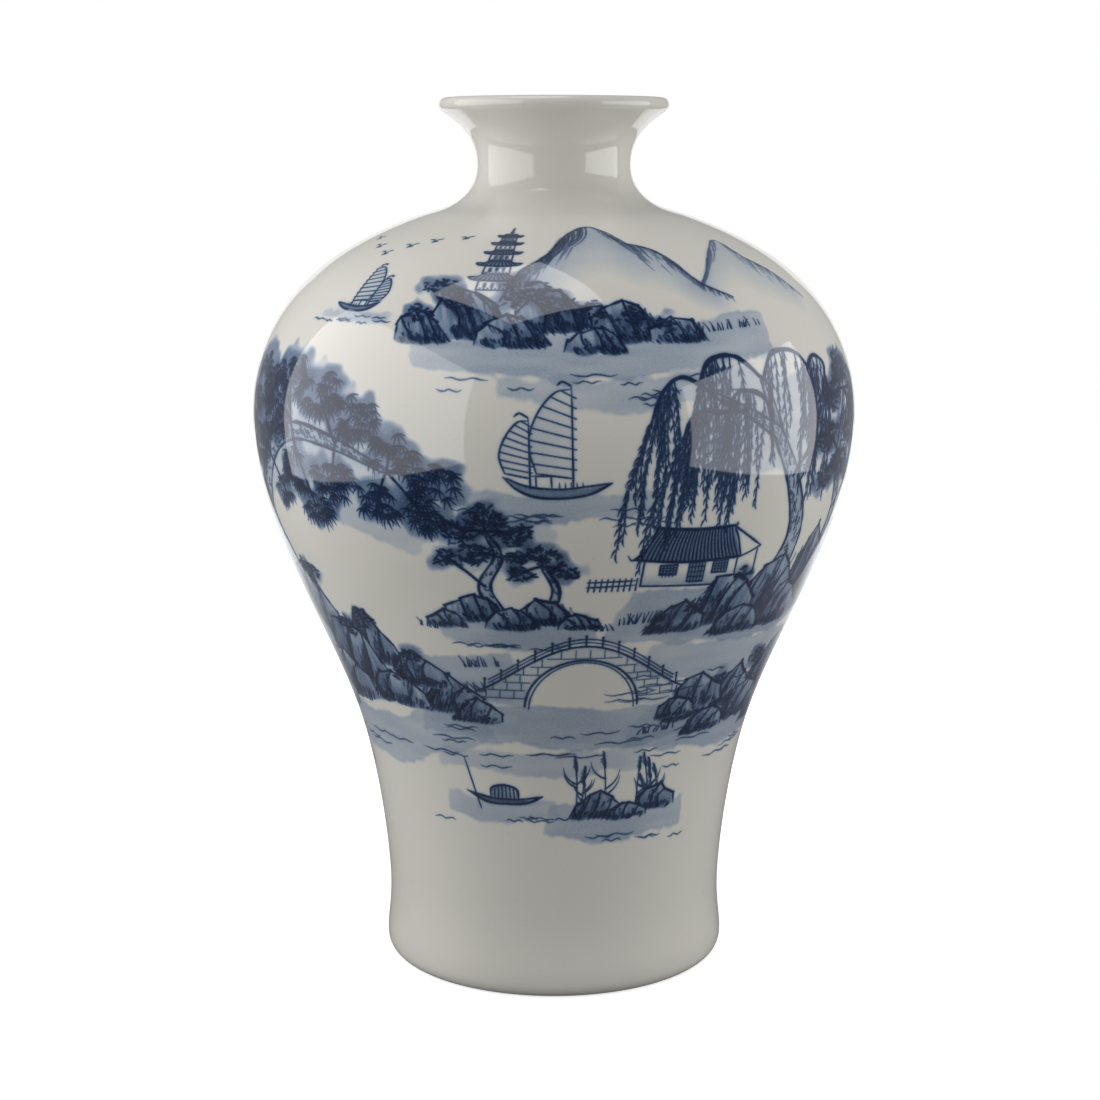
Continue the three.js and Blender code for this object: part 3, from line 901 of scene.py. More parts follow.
def ring(b, centre, radius):
    """A small circle."""
    angle = np.linspace(0, 2 * np.pi, max(12, int(radius * b.size * 36)))
    b.touch(centre + radius * pair(np.cos(angle), np.sin(angle)), 0.2)


def blossom(b, centre, size):
    """A five-petalled plum flower."""
    for angle in np.radians(90 + 72 * np.arange(5)):
        ring(b, centre + size * 0.72 * pair(np.cos(angle), np.sin(angle)), 0.48 * size)
    angle = np.radians(np.arange(0, 360, 60))
    tips = centre + 0.5 * size * pair(np.cos(angle), np.sin(angle))
    b.ticks(np.broadcast_to(centre, tips.shape), tips, 0.3, tip=1)


def plum(b, boughs, flowers=7):
    """Angular plum boughs with flowers and buds along them."""
    for points, width in boughs:
        b.line(points, width * 1.6, taper=(1, 0.25), waver=0.8)
    for points, _ in boughs:
        path = curve(points)
        count = max(2, int(flowers * len(path) * LINE_STEP / 12))
        spots, ways = along(path, b.random.uniform(0.15, 1, count))
        for spot, aside in zip(spots, quarter(ways)):
            spot = spot + aside * b.random.choice([-1, 1]) * b.random.uniform(0.6, 2.4)
            if b.random.random() < 0.62:
                blossom(b, spot, b.random.uniform(1.2, 1.7))
            else:
                b.touch(spot[None], 0.6)


def reeds(b, low, high, count, tall):
    """Reeds: long bent stems with narrow leaves and feathery heads."""
    for u in b.random.uniform(low, high, count):
        height = tall * b.random.uniform(0.6, 1.15)
        lean = b.random.normal(0.18, 0.12) * height
        stem = curve([(u, 0), (u + 0.25 * lean, 0.5 * height), (u + lean, height)])
        b.line(stem, 0.4, taper=(1, 0.5))
        share = np.linspace(0.72, 1, 12)
        head, way = along(stem, share)
        side = np.where(np.arange(12) % 2, -0.5, 0.2)[:, None] * quarter(way)
        reach = (2.2 - 1.3 * (share - 0.72) / 0.28)[:, None] * b.random.uniform(0.7, 1.1, (12, 1))
        b.ticks(head, head + (way + side) * reach, 0.5, tip=0.2, bend=0.1)
        leaf, way = along(stem, b.random.uniform(0.1, 0.65, 3))
        side = b.random.choice([-1, 1], 3)[:, None]
        tip = leaf + way * 0.32 * height + side * (0.22 * height, 0.0)
        b.ticks(leaf, tip, tip=0.1, bend=-0.14 * side[:, 0])


def geese(b, birds):
    """Birds in flight, two wing strokes and a body to each. Each is (u, v, size)."""
    for u, v, size in birds:
        b.line(size * np.array([(-2.4, 1.0), (-1.0, 1.1), (0, 0)]) + (u, v), 0.5, taper=(0.2, 0.9))
        b.line(size * np.array([(0, 0), (0.7, 1.3), (2.0, 1.7)]) + (u, v), 0.5, taper=(0.9, 0.2))
        body = size * np.array([(-0.5, -0.3), (1.1, 0.2)]) + (u, v)
        b.ticks(body[:1], body[1:], 0.75, tip=0.4)


# The landscape, scene by scene.


def washes(b, *strokes):
    """Broad strokes of wash. Each is (points, width, tone)."""
    for points, width, tone in strokes:
        b.wash(points, width, tone)


def far_shore(sheet):
    """Peaks in the mist, and a pagoda on the rocks below them."""
    b = Brush(sheet, 26, 55, size=1.2, seed=11)
    ridge = [(22, -2), (31, 8), (38, 21), (45, 27), (54, 17), (66, 9), (80, -2)]
    peak(b, ridge, 14, dark=0.6, count=110)
    ridge = [(-34, 0), (-26, 12), (-17, 20), (-8, 33), (0, 38), (7, 28), (17, 22), (28, 7), (40, 0)]
    peak(b, ridge, 14, dark=0.95, count=200)
    washes(b, ([(-64, -14), (-30, -18), (12, -16), (52, -13)], 17, 0.72),
           ([(-40, -27), (0, -30), (44, -25)], 10, 0.5))
    crag(b, [(-20, -10, 22, 15), (-45, -12, 24, 17), (2, -13, 22, 13), (-60, -14, 18, 10), (18, -14, 18, 8),
             (-32, -15, 22, 10), (-8, -17, 18, 8)])
    pagoda(b.at(-36, 4, 0.95))
    bushes(b, [(-51, 4, 6.2), (-46, -1, 5.0), (-25, 4, 6.4), (-18, -1, 5.4), (-30, 0, 4.0), (-8, -4, 5.2),
               (-60, -5, 4.4), (4, -6, 4.4), (14, -9, 3.8)], length=1.7)
    grass(b, (22, -12), (50, -10), 22, 3.0)
    ripples(b, (-54, -33), (46, -24), 14)


def willow_bank(sheet):
    """On the right: a bank with a great willow over a cottage, a leafy tree and rocks."""
    b = Brush(sheet, 96, -56, size=1.3, flip=True, seed=3)
    washes(b, ([(-52, -4), (-20, -9), (22, -8), (48, -6)], 20, 0.85),
           ([(-48, -23), (-10, -26), (36, -21)], 14, 0.6), ([(-30, 42), (-6, 48), (20, 44)], 26, 0.42))
    tree(b, [(-30, 4), (-33, 20), (-28, 36), (-34, 54)], (5, 4, 3, 1.4),
         [(-34, 60, 9), (-46, 52, 9), (-24, 53, 8), (-40, 43, 10), (-20, 42, 8), (-52, 40, 8), (-31, 33, 8),
          (-47, 30, 8), (-20, 30, 6)])
    cottage(b.at(28, 3, 1.1, flip=True))
    trunk(b, [(-2, -4), (-8, 14), (-2, 31), (6, 45), (10, 60)], (11, 7, 5.5, 4, 2.2), 150)
    trunk(b, [(-3, 31), (-12, 42), (-17, 54)], (4, 3, 1.6), 40)
    trunk(b, [(6, 45), (18, 52), (28, 57)], (3.6, 2.4, 1.4), 30)
    willow(b, [[(10, 60), (4, 67), (-6, 67), (-13, 60)], [(10, 60), (18, 67), (27, 66), (33, 58)],
               [(28, 57), (36, 62), (43, 58), (48, 49)], [(-17, 54), (-21, 62), (-15, 65), (-8, 59)],
               [(18, 52), (26, 52), (34, 52), (39, 45)], [(8, 50), (12, 56), (20, 57), (25, 50)]])
    crag(b, [(-44, -6, 24, 22), (-24, -8, 26, 24), (-4, -10, 24, 19), (14, -10, 22, 15), (-34, -13, 26, 14),
             (28, -12, 18, 9), (-14, -15, 24, 13), (6, -15, 20, 9)], 1.2)
    low = [(-50, 6, 4.5), (-38, 12, 4.0), (10, 4, 3.5), (24, -5, 3.5), (34, -8, 2.6)]
    bushes(b, low, length=1.7, flat=0.7)
    grass(b, (28, -8), (46, -9), 20, 3.4)
    grass(b, (-54, -14), (-40, -16), 10, 3.0)
    ripples(b, (-44, -36), (40, -27), 14, 14)


def lower_bank(sheet):
    """Below the willow: a heap of rocks with bushes, at the end of the bridge."""
    b = Brush(sheet, 114, -106, size=1.25, flip=True, seed=14)
    b.wash([(-42, -8), (0, -12), (40, -8)], 15, 0.8)
    crag(b, [(-36, -2, 24, 17), (-16, -2, 28, 19), (6, -4, 24, 14), (-28, -8, 26, 14), (22, -6, 18, 9),
             (-6, -10, 26, 12), (-20, -14, 20, 9), (12, -12, 18, 8)], 1.2)
    bushes(b, [(-26, 13, 4.5), (-4, 11, 4.5), (14, 5, 4), (-42, 10, 4.5), (26, 1, 3)], length=1.7)
    grass(b, (24, -9), (38, -10), 14, 3.0)
    ripples(b, (-40, -24), (36, -17), 10)


def river(sheet):
    """Boats under sail, a humped bridge and the water between."""
    b = Brush(sheet, 14, -98, size=1.25, flip=True, seed=5)
    washes(b, ([(-46, -10), (-10, -13), (50, -10)], 16, 0.78),
           ([(-20, -24), (10, -26), (44, -24)], 9, 0.5))
    bridge(b, span=62, rise=17)
    crag(b, [(-38, -8, 20, 12), (40, -8, 22, 13), (31, -11, 16, 8), (-30, -11, 14, 7)])
    ripples(b, (-40, -24), (40, -12), 16, 13)
    b = Brush(sheet, 2, -14, size=1.35, flip=True, seed=9)
    b.wash([(-26, -3), (0, -5), (26, -4)], 9, 0.72)
    junk(b)
    ripples(b, (-28, -10), (28, -4), 12, 11)
    b = Brush(sheet, -92, 50, size=0.78, seed=10)
    b.wash([(-24, -4), (0, -5), (26, -4)], 8, 0.55)
    junk(b)
    ripples(b, (-28, -9), (28, -4), 8, 10)


def grove(sheet):
    """In the middle of the front: leafy trees on a rocky islet."""
    b = Brush(sheet, -15, -61, size=1.1, seed=61)
    washes(b, ([(-28, -6), (0, -10), (26, -7)], 13, 0.8), ([(-22, 20), (-4, 26), (14, 20)], 20, 0.4))
    clumps = [(9, 21, 6), (16, 15, 5.5), (2, 14, 5)]
    tree(b, [(10, -2), (13, 8), (9, 17)], (3.2, 2.4, 1.2), clumps, bark=20)
    tree(b, [(-6, -2), (-10, 9), (-5, 20), (-9, 29)], (5, 4, 2.8, 1.2),
         [(-9, 34, 7.5), (-18, 28, 7), (0, 28, 7), (-12, 21, 6.5), (-22, 19, 5.5), (2, 20, 5)], bark=50)
    crag(b, [(-14, -4, 20, 10), (8, -5, 22, 10), (-2, -7, 18, 8), (-24, -7, 14, 6), (20, -7, 14, 6)])
    grass(b, (-34, -8), (-26, -9), 10, 2.8)
    grass(b, (24, -8), (31, -8), 8, 2.8)
    ripples(b, (-28, -16), (28, -12), 8, 11)


def great_tree(sheet):
    """On the left: a great tree on tall rocks, which leans out over the water."""
    b = Brush(sheet, -106, -82, size=1.3, flip=True, seed=8)
    washes(b, ([(-54, -7), (-20, -10), (10, -13), (46, -12)], 18, 0.85),
           ([(-40, -22), (0, -34), (40, -30)], 16, 0.6),
           ([(-46, 44), (-20, 52), (16, 60), (36, 52)], 30, 0.45))
    stem = [(30, -4), (24, 18), (31, 38), (20, 56), (4, 64), (-16, 62), (-34, 56)]
    clumps = [(26, 78, 11), (8, 80, 10), (40, 68, 10), (-8, 76, 9), (16, 68, 10), (-22, 70, 9), (30, 58, 9),
              (-36, 62, 8), (2, 54, 8), (-48, 54, 8), (-14, 52, 8), (44, 54, 9), (-30, 48, 8), (38, 42, 9),
              (-44, 44, 7), (-4, 44, 7), (12, 46, 6), (46, 32, 8)]
    tree(b, stem, (15, 10, 8, 7, 5, 3.5, 1.5), clumps, bark=260, drooping=True)
    crag(b, [(44, -2, 30, 40), (20, -6, 34, 30), (-8, -6, 22, 17), (34, -12, 32, 24), (4, -14, 30, 20),
             (-22, -12, 20, 11), (44, -20, 26, 18), (16, -22, 30, 16), (-10, -20, 22, 11),
             (32, -28, 26, 12)], 1.3)
    bushes(b, [(12, 20, 5), (34, 20, 6), (-8, 8, 4.5), (2, 4, 4.5), (24, 8, 5), (-22, -2, 3.6),
               (-14, -10, 3.4)])
    grass(b, (-50, -3), (-38, -4), 14, 3.2)
    grass(b, (-44, -12), (-30, -14), 14, 3.2)
    ripples(b, (-44, -42), (40, -34), 12, 13)


def islet(sheet):
    """Reeds on a low islet at the bottom of the front, and a boat beside it."""
    b = Brush(sheet, 44, -150, size=1.3, flip=True, seed=12)
    b.wash([(-22, -3), (0, -5), (24, -3)], 12, 0.75)
    reeds(b, -14, 16, 10, 17)
    crag(b, [(-10, -1, 14, 7), (8, -2, 16, 8), (-1, -3, 12, 5)])
    ripples(b, (-22, -12), (24, -8), 6, 10)
    b = Brush(sheet, -30, -146, size=1.2, flip=True, seed=13)
    b.wash([(-18, -2), (0, -4), (20, -2)], 9, 0.62)
    punt(b)
    ripples(b, (-20, -9), (22, -5), 6, 9)


def cliff(sheet):
    """Right of the great tree: a tall cliff with a waterfall, trees on its steps and a boat below."""
    b = Brush(sheet, 232, -46, size=1.4, seed=31)
    washes(b, ([(-40, -18), (0, -24), (44, -20)], 20, 0.85), ([(-30, -34), (10, -36), (40, -32)], 12, 0.55),
           ([(-30, 46), (0, 54), (30, 44)], 26, 0.4))
    crag(b, [(-20, 6, 30, 44), (24, 8, 32, 46), (4, 34, 26, 22), (-32, -4, 26, 32), (38, -2, 28, 34),
             (-12, -10, 28, 30), (26, -12, 30, 30)], 1.2)
    waterfall(b)
    crag(b, [(-34, -16, 24, 18), (-4, -18, 22, 14), (18, -19, 22, 15), (40, -18, 24, 18),
             (-18, -21, 22, 12), (30, -23, 22, 11), (6, -24, 16, 7)], 1.2)
    tree(b, [(-36, 0), (-40, 14), (-34, 28), (-38, 42)], (6, 4.5, 3, 1.5),
         [(-38, 46, 9), (-48, 40, 8), (-28, 40, 8), (-42, 32, 8), (-26, 30, 6), (-50, 28, 7)])
    tree(b, [(40, 28), (44, 40), (38, 52), (44, 62)], (5, 4, 3, 1.5),
         [(44, 64, 8), (34, 58, 8), (54, 58, 7), (46, 50, 8), (32, 48, 6)], bark=50, drooping=True)
    bushes(b, [(-20, 46, 5), (-12, 50, 4.5), (20, 52, 5), (12, 56, 4), (-30, 12, 5), (30, 14, 5),
               (-8, 14, 4), (20, 12, 4), (36, -6, 4), (-24, -8, 4)])
    ripples(b, (-44, -42), (44, -30), 18, 13)
    b = Brush(sheet, 218, -128, size=1.2, flip=True, seed=32)
    b.wash([(-22, -2), (0, -4), (26, -2)], 9, 0.62)
    punt(b)
    ripples(b, (-24, -9), (26, -5), 8, 10)
    b = Brush(sheet, 196, 74, size=1.3, seed=33)
    geese(b, [(0, 0, 1), (7, 3, 1), (14, 5, 0.9), (21, 9, 0.9)])


def waterfall(b):
    """Falling water: a bare band down the rocks, with fine threads in it."""
    fall = [(4, 34), (9, 34), (10, 14), (11, -10), (1, -10), (3, 14)]
    b.reserve(curve(fall + fall[:1])[::6])
    threads = b.random.uniform(2.5, 9.5, 26)
    top = b.random.uniform(0, 32, 26)
    bottom = top - b.random.uniform(5, 12, 26)
    b.ticks(pair(threads, top), pair(threads + 0.6, bottom), 0.5, 0.8 * FULL_INK, tip=0.3)


def village(sheet):
    """At the back: cottages under bamboo, with a plum tree by the water."""
    b = Brush(sheet, 350, -66, size=1.35, seed=41)
    washes(b, ([(-52, -6), (-10, -12), (46, -8)], 24, 0.8), ([(-40, -26), (0, -30), (40, -26)], 12, 0.5),
           ([(-40, 30), (-8, 36), (30, 30)], 24, 0.4))
    stems = [(-34, 4, 4, 56), (-28, 4, -3, 62), (-22, 4, 6, 52), (-40, 4, -5, 50), (-16, 4, 8, 44)]
    spots = b.random.uniform((-50, 24), (-6, 66), (84, 2))
    bamboo(b, stems, [(*spot, 4, b.random.uniform(4, 6.5), b.random.uniform(-60, 60)) for spot in spots])
    cottage(b.at(-18, 0, 1.0))
    cottage(b.at(22, -4, 1.2, flip=True))
    plum(b, [([(50, -4), (46, 10), (51, 22), (45, 36)], 1.6),
             ([(47, 14), (38, 26), (24, 31), (12, 29)], 0.9),
             ([(50, 24), (58, 32), (61, 40)], 0.8), ([(45, 34), (33, 42), (27, 54)], 0.7),
             ([(45, 36), (50, 48), (47, 62)], 0.7), ([(58, 32), (70, 36), (78, 34)], 0.6),
             ([(30, 30), (22, 40), (12, 44)], 0.6)])
    crag(b, [(-50, -8, 26, 18), (52, -8, 26, 17), (-36, -14, 24, 12), (-4, -15, 20, 8), (40, -15, 22, 10),
             (12, -16, 18, 7)], 1.2)
    grass(b, (-28, -12), (-10, -14), 16, 3.2)
    grass(b, (20, -14), (34, -13), 14, 3.2)
    ripples(b, (-46, -40), (44, -24), 18, 13)
    b = Brush(sheet, 338, 48, size=1.2, seed=42)
    peak(b, [(-44, 0), (-34, 9), (-26, 20), (-20, 22), (-8, 10), (0, 0)], 12, dark=0.6, count=90)
    peak(b, [(-16, 0), (-6, 14), (4, 26), (12, 30), (20, 22), (32, 10), (44, 0)], 12, dark=0.85, count=130)
    b.wash([(-46, -13), (0, -16), (48, -13)], 12, 0.55)
    ripples(b, (-46, -24), (46, -16), 10)


def quiet_lake(sheet):
    """Left of the willow: a pavilion on a rocky point, boats, and hills across the water."""
    b = Brush(sheet, -226, -56, size=1.35, seed=51)
    washes(b, ([(-46, -6), (0, -12), (46, -8)], 22, 0.8), ([(-36, -26), (4, -30), (40, -26)], 12, 0.5),
           ([(-30, 34), (0, 42), (30, 34)], 26, 0.4))
    tree(b, [(18, 0), (24, 18), (16, 34), (22, 50)], (9, 6.5, 4.5, 2),
         [(22, 56, 10), (8, 50, 9), (36, 52, 9), (14, 40, 9), (32, 40, 9), (0, 40, 8), (44, 42, 8),
          (24, 30, 7), (6, 30, 7), (42, 30, 7)], bark=120)
    hall(b.at(-20, 6, 1.15))
    crag(b, [(14, -8, 30, 22), (38, -8, 28, 24), (-2, -10, 22, 12), (26, -14, 28, 15), (48, -14, 20, 12),
             (8, -16, 22, 9)], 1.2)
    bushes(b, [(6, 8, 5), (44, 12, 5), (30, 10, 4), (0, -2, 3.6)])
    ripples(b, (-44, -40), (44, -24), 18, 13)
    b = Brush(sheet, -250, 44, size=1.15, seed=52)
    peak(b, [(-40, 0), (-30, 12), (-20, 24), (-10, 28), (2, 16), (14, 0)], 12, dark=0.8, count=130)
    peak(b, [(4, 0), (14, 10), (24, 16), (34, 8), (42, 0)], 10, dark=0.55, count=80)
    b.wash([(-44, -12), (0, -15), (46, -12)], 12, 0.55)
    junk(b.at(-40, -34, 0.95, flip=True))
    ripples(b, (-56, -40), (-24, -35), 8)
    ripples(b, (-20, -24), (50, -18), 8)
    b = Brush(sheet, -196, -136, size=1.3, seed=53)
    b.wash([(-20, -3), (0, -5), (22, -3)], 11, 0.7)
    reeds(b, -14, 14, 9, 16)
    crag(b, [(-8, -1, 14, 7), (8, -2, 14, 7)])
    ripples(b, (-20, -11), (22, -8), 6, 10)


def paint():
    """The whole painting, the back first."""
    sheet = Sheet(*(rise_at(z) for z in PAINTED))
    scenes = (village, cliff, quiet_lake, far_shore, lower_bank, river, grove, willow_bank, great_tree,
              islet)
    for scene in scenes:
        scene(sheet)
    b = Brush(sheet, -104, 78, size=1.4, seed=2)
    geese(b, [(0, 0, 1), (6, 4, 1), (12, 7, 0.9), (-7, 3, 1), (-14, 7, 0.9), (20, 9, 0.8)])
    sheet.fire()
    return sheet


# Turned pieces

WALL_MAP = 0.88  # how much of the bake map's height the outer wall takes
OTHER_MAP = (0.89, 0.997)  # the band of it that holds the other rows
MAP_MARGIN = 0.004

ANGLE = np.arange(COLUMNS) / COLUMNS * 2 * math.pi
AROUND = pair(-np.sin(ANGLE), np.cos(ANGLE))  # from the back, past the left, to the front


def rings(points):
    """Each (radius, height) point turned about the axis, as a ring of (x, y, z)."""
    flat = points[:, None, :1] * AROUND
    up = np.broadcast_to(points[:, None, 1:], flat[..., :1].shape)
    return np.concatenate([flat, up], axis=-1)


def skin_span(run):
    """The skin distances of a run's ends, or None where the run isn't part of the skin."""
    found = []
    for point in (run[0], run[len(run) // 2], run[-1]):
        far = np.hypot(*(SKIN_POINTS - point).T)
        if far.min() > ON_SKIN:
            return None
        found.append(FINE[np.argmin(far)])
    return (found[0], found[-1]) if found[0] < found[-1] else None


def fine_run(run):
    """A smooth run with enough rows to look round: points, directions, and skin distances if any."""
    span = skin_span(run)
    if span:
        rows = skin.rows(*span, ROW, ROW_TURN)
        return *skin.at(rows), rows
    own = Spline(run)
    return *own.at(own.rows(0, own.run[-1], INNER_ROW, INNER_TURN)), None


def face_corners(low, high):
    """For values that go round each row's lower and upper ring: the values at each face's corners."""
    return np.stack([low, np.roll(low, -1, axis=1), np.roll(high, -1, axis=1), high], axis=2)


def map_band(lengths, low, high, split, tall):
    """Rows of faces on the bake map, with each ring cut in equal parts that lie above each other."""
    top = np.cumsum(lengths) / lengths.sum() * (high - low) + low
    bottom = np.concatenate([[low], top[:-1]])
    column, wide = np.arange(COLUMNS), COLUMNS // split
    step = (1 - 2 * MAP_MARGIN) / wide
    left = column % wide * step + MAP_MARGIN
    right = left + step
    bottom, top = (side[:, None] + column // wide * tall for side in (bottom, top))
    return np.stack([pair(left, bottom), pair(right, bottom), pair(right, top), pair(left, top)], axis=2)


def in_scene(name, data):
    """A new object of the scene."""
    thing = bpy.data.objects.new(name, data)
    bpy.context.scene.collection.objects.link(thing)
    return thing


class Turned:
    """A fine turned mesh in the place of one CAD node."""

    def __init__(self, node, strips):
        self.node = node
        self.runs = [fine_run(run) for run in profiles[node]]
        for before, after in zip(self.runs, self.runs[1:] + self.runs[:1]):
            if before[2] is not None:  # the skin is finer than the frame, so the next run joins it
                after[0][0] = before[0][-1]
        points = [place[:-1] for place, _, _ in self.runs]
        start, end = self.runs[0][0][0], self.runs[-1][0][-1]
        if not np.allclose(start, end, atol=0.5):
            points.append(end[None])
        self.points = np.maximum(np.vstack(points), 0)
        skins = [np.full(len(place) - 1, rows is not None) for place, _, rows in self.runs]
        self.on_skin = np.concatenate(skins)
        self.rows = len(self.on_skin)
        low = np.arange(self.rows)
        self.ends = pair(low, (low + 1) % len(self.points))
        self.mesh = bpy.data.meshes.new(node)
        self.mesh.from_pydata(*self.faces())
        self.mesh.polygons.foreach_set("use_smooth", np.ones(self.rows * COLUMNS, bool))
        self.mesh.normals_split_custom_set(self.normals()[self.keep])
        cell = np.array([(0, 0), (1, 0), (1, 1), (0, 1)])
        self.write_map("cell", np.broadcast_to(cell, (self.rows, COLUMNS, 4, 2)))
        self.write_map("OFBake", self.bake_map(strips))

    def faces(self):
        """The vertices and faces. A ring on the axis is one vertex, with a fan of triangles round it."""
        on_axis = self.points[:, 0] < AXIS
        number = np.arange(len(self.points) * COLUMNS).reshape(-1, COLUMNS)
        number[on_axis] = number[on_axis, :1]
        faces = face_corners(number[self.ends[:, 0]], number[self.ends[:, 1]])
        self.keep = np.ones(faces.shape, bool)
        self.keep[on_axis[self.ends[:, 0]], :, 1] = False
        self.keep[on_axis[self.ends[:, 1]], :, 2] = False
        used, faces = np.unique(faces, return_inverse=True)
        faces = zip(faces.reshape(-1, 4), self.keep.reshape(-1, 4))
        vertices = rings(self.points * MM).reshape(-1, 3)[used]
        return vertices, [], [face[kept].tolist() for face, kept in faces]

    def normals(self):
        """The direction that each corner of each face looks in."""
        parts = []
        for _, way, _ in self.runs:
            out = rings(-quarter(way))
            parts.append(face_corners(out[:-1], out[1:]))
        return np.vstack(parts)

    def write_map(self, name, values):
        layer = self.mesh.uv_layers.new(name=name)
        layer.uv.foreach_set("vector", np.ascontiguousarray(values[self.keep], np.float32).ravel())

    def bake_map(self, strips):
        """The outer wall in strips, one above the other, and the other rows in a narrow band on top."""
        lengths = np.concatenate([np.hypot(*np.diff(place, axis=0).T) for place, _, _ in self.runs])
        tall = WALL_MAP / strips
        result = np.zeros((self.rows, COLUMNS, 4, 2))
        wall, others = (MAP_MARGIN, tall - MAP_MARGIN, strips), (*OTHER_MAP, 1)
        for pick, band in ((self.on_skin, wall), (~self.on_skin, others)):
            if pick.any():
                result[pick] = map_band(lengths[pick], *band, tall)
        return result

    def lay(self, sheet):
        """Stores the painting's samples on the faces of the outer wall, nine by nine to a face."""
        side = CELLS + 1
        samples = np.zeros((side, side, self.rows, COLUMNS), np.float32)
        first = 0
        for place, _, rows in self.runs:
            count = len(place) - 1
            if rows is not None:
                fine = np.interp(np.arange(count * CELLS + 1) / CELLS, np.arange(count + 1), rows)
                part = sheet.sampled(np.interp(fine, FINE, SKIN_RISE))
                part = np.hstack([part, part[:, :1]])
                for j, i in np.ndindex(side, side):
                    grid = part[j::CELLS, i::CELLS]
                    samples[j, i, first : first + count] = grid[:count, :COLUMNS]
            first += count
        samples = samples.reshape(side, 3, 3, -1)
        for j, q in np.ndindex(side, 3):
            layer = self.mesh.attributes.new(f"ink_{j}_{q}", "FLOAT_VECTOR", "FACE")
            layer.data.foreach_set("vector", np.ascontiguousarray(samples[j, q].T).ravel())

    def place(self, slot, materials, choose):
        """Puts the piece in the scene. choose(heights, on_skin) gives each face's material."""
        for material in materials:
            self.mesh.materials.append(material)
        height = self.points[self.ends, 1].mean(axis=1)
        index = choose(*(np.repeat(value, COLUMNS) for value in (height, self.on_skin)))
        self.mesh.polygons.foreach_set("material_index", index.astype(np.int32))
        piece = in_scene("fine_" + self.node, self.mesh)
        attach(piece, "root")
        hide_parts(self.node)


# Materials


class Nodes:
    """Short ways to add nodes to a material or to the world, and to join them."""

    def __init__(self, owner):
        self.owner = owner
        owner.use_nodes = True
        self.tree = owner.node_tree
        self.tree.nodes.clear()

    def add(self, kind, settings=None, **inputs):
        node = self.tree.nodes.new(kind)
        for key, value in (settings or {}).items():
            setattr(node, key, value)
        for key, value in inputs.items():
            self.put(node.inputs[key.replace("_", " ")], value)
        return node

    def put(self, socket, value):
        if isinstance(value, bpy.types.NodeSocket):
            self.tree.links.new(value, socket)
        else:
            socket.default_value = value

    def fill(self, node, values):
        """Gives a node's first sockets these values, in order."""
        for socket, value in zip(node.inputs, values):
            self.put(socket, value)
        return node

    def maths(self, operation, *values):
        return self.fill(self.add("ShaderNodeMath", {"operation": operation}), values).outputs[0]

    def vector(self, operation, *values):
        node = self.fill(self.add("ShaderNodeVectorMath", {"operation": operation}), values)
        return node.outputs["Value" if operation == "DOT_PRODUCT" else "Vector"]

    def total(self, values):
        """The sum of some values."""
        result, *others = values
        for value in others:
            result = self.maths("ADD", result, value)
        return result

    def noise(self, scale, detail=2.0):
        where = self.add("ShaderNodeTexCoord").outputs["Object"]
        return self.add("ShaderNodeTexNoise", Vector=where, Scale=scale, Detail=detail).outputs["Fac"]

    def spread(self, value, low, high, start, end):
        """A value from low to high carried over to start to end."""
        return self.fill(self.add("ShaderNodeMapRange"), (value, low, high, start, end)).outputs[0]

    def grain(self, scale, detail, start, end):
        """Fine noise between two values."""
        return self.spread(self.noise(scale, detail), 0.3, 0.7, start, end)

    def coat(self, channels, relief, wave, **looks):
        """The material's surface: its colour's three channels, its relief and its gloss."""
        colour = self.add("ShaderNodeCombineColor", **dict(zip(("Red", "Green", "Blue"), channels)))
        bump = self.add("ShaderNodeBump", Height=relief, Strength=wave[0], Distance=wave[1])
        bases = {"Base_Color": colour.outputs[0], "Normal": bump.outputs[0]}
        return self.surface(self.add("ShaderNodeBsdfPrincipled", **bases, **looks))

    def surface(self, shader):
        out = self.add("ShaderNodeOutputMaterial")
        self.put(out.inputs["Surface"], shader.outputs[0])
        return self.owner


def nearness(nodes, share):
    """How near a point is to each of the nine samples along a face's side, three to a vector."""
    step = nodes.maths("MULTIPLY", share, float(CELLS))
    step = nodes.add("ShaderNodeCombineXYZ", X=step, Y=step, Z=step).outputs[0]
    near = []
    for first in (0, 3, 6):
        away = nodes.vector("ABSOLUTE", nodes.vector("SUBTRACT", step, (first, first + 1, first + 2)))
        near.append(nodes.vector("MAXIMUM", nodes.vector("SUBTRACT", (1, 1, 1), away), (0, 0, 0)))
    return near


def ink(nodes):
    """How strongly the pigment absorbs at a point, from the nine by nine samples on its face."""
    cell = nodes.add("ShaderNodeUVMap", {"uv_map": "cell"}).outputs[0]
    split = nodes.add("ShaderNodeSeparateXYZ", Vector=cell)
    across, up = nearness(nodes, split.outputs[0]), nearness(nodes, split.outputs[1])

    def stored(j, q):
        return nodes.add("ShaderNodeAttribute", {"attribute_name": f"ink_{j}_{q}"}).outputs["Vector"]

    def row(j):
        return nodes.total(nodes.vector("DOT_PRODUCT", stored(j, q), across[q]) for q in range(3))

    def three(p):
        rows = dict(zip("XYZ", (row(j) for j in range(3 * p, 3 * p + 3))))
        return nodes.vector("DOT_PRODUCT", nodes.add("ShaderNodeCombineXYZ", **rows).outputs[0], up[p])

    return nodes.total(three(p) for p in range(3))


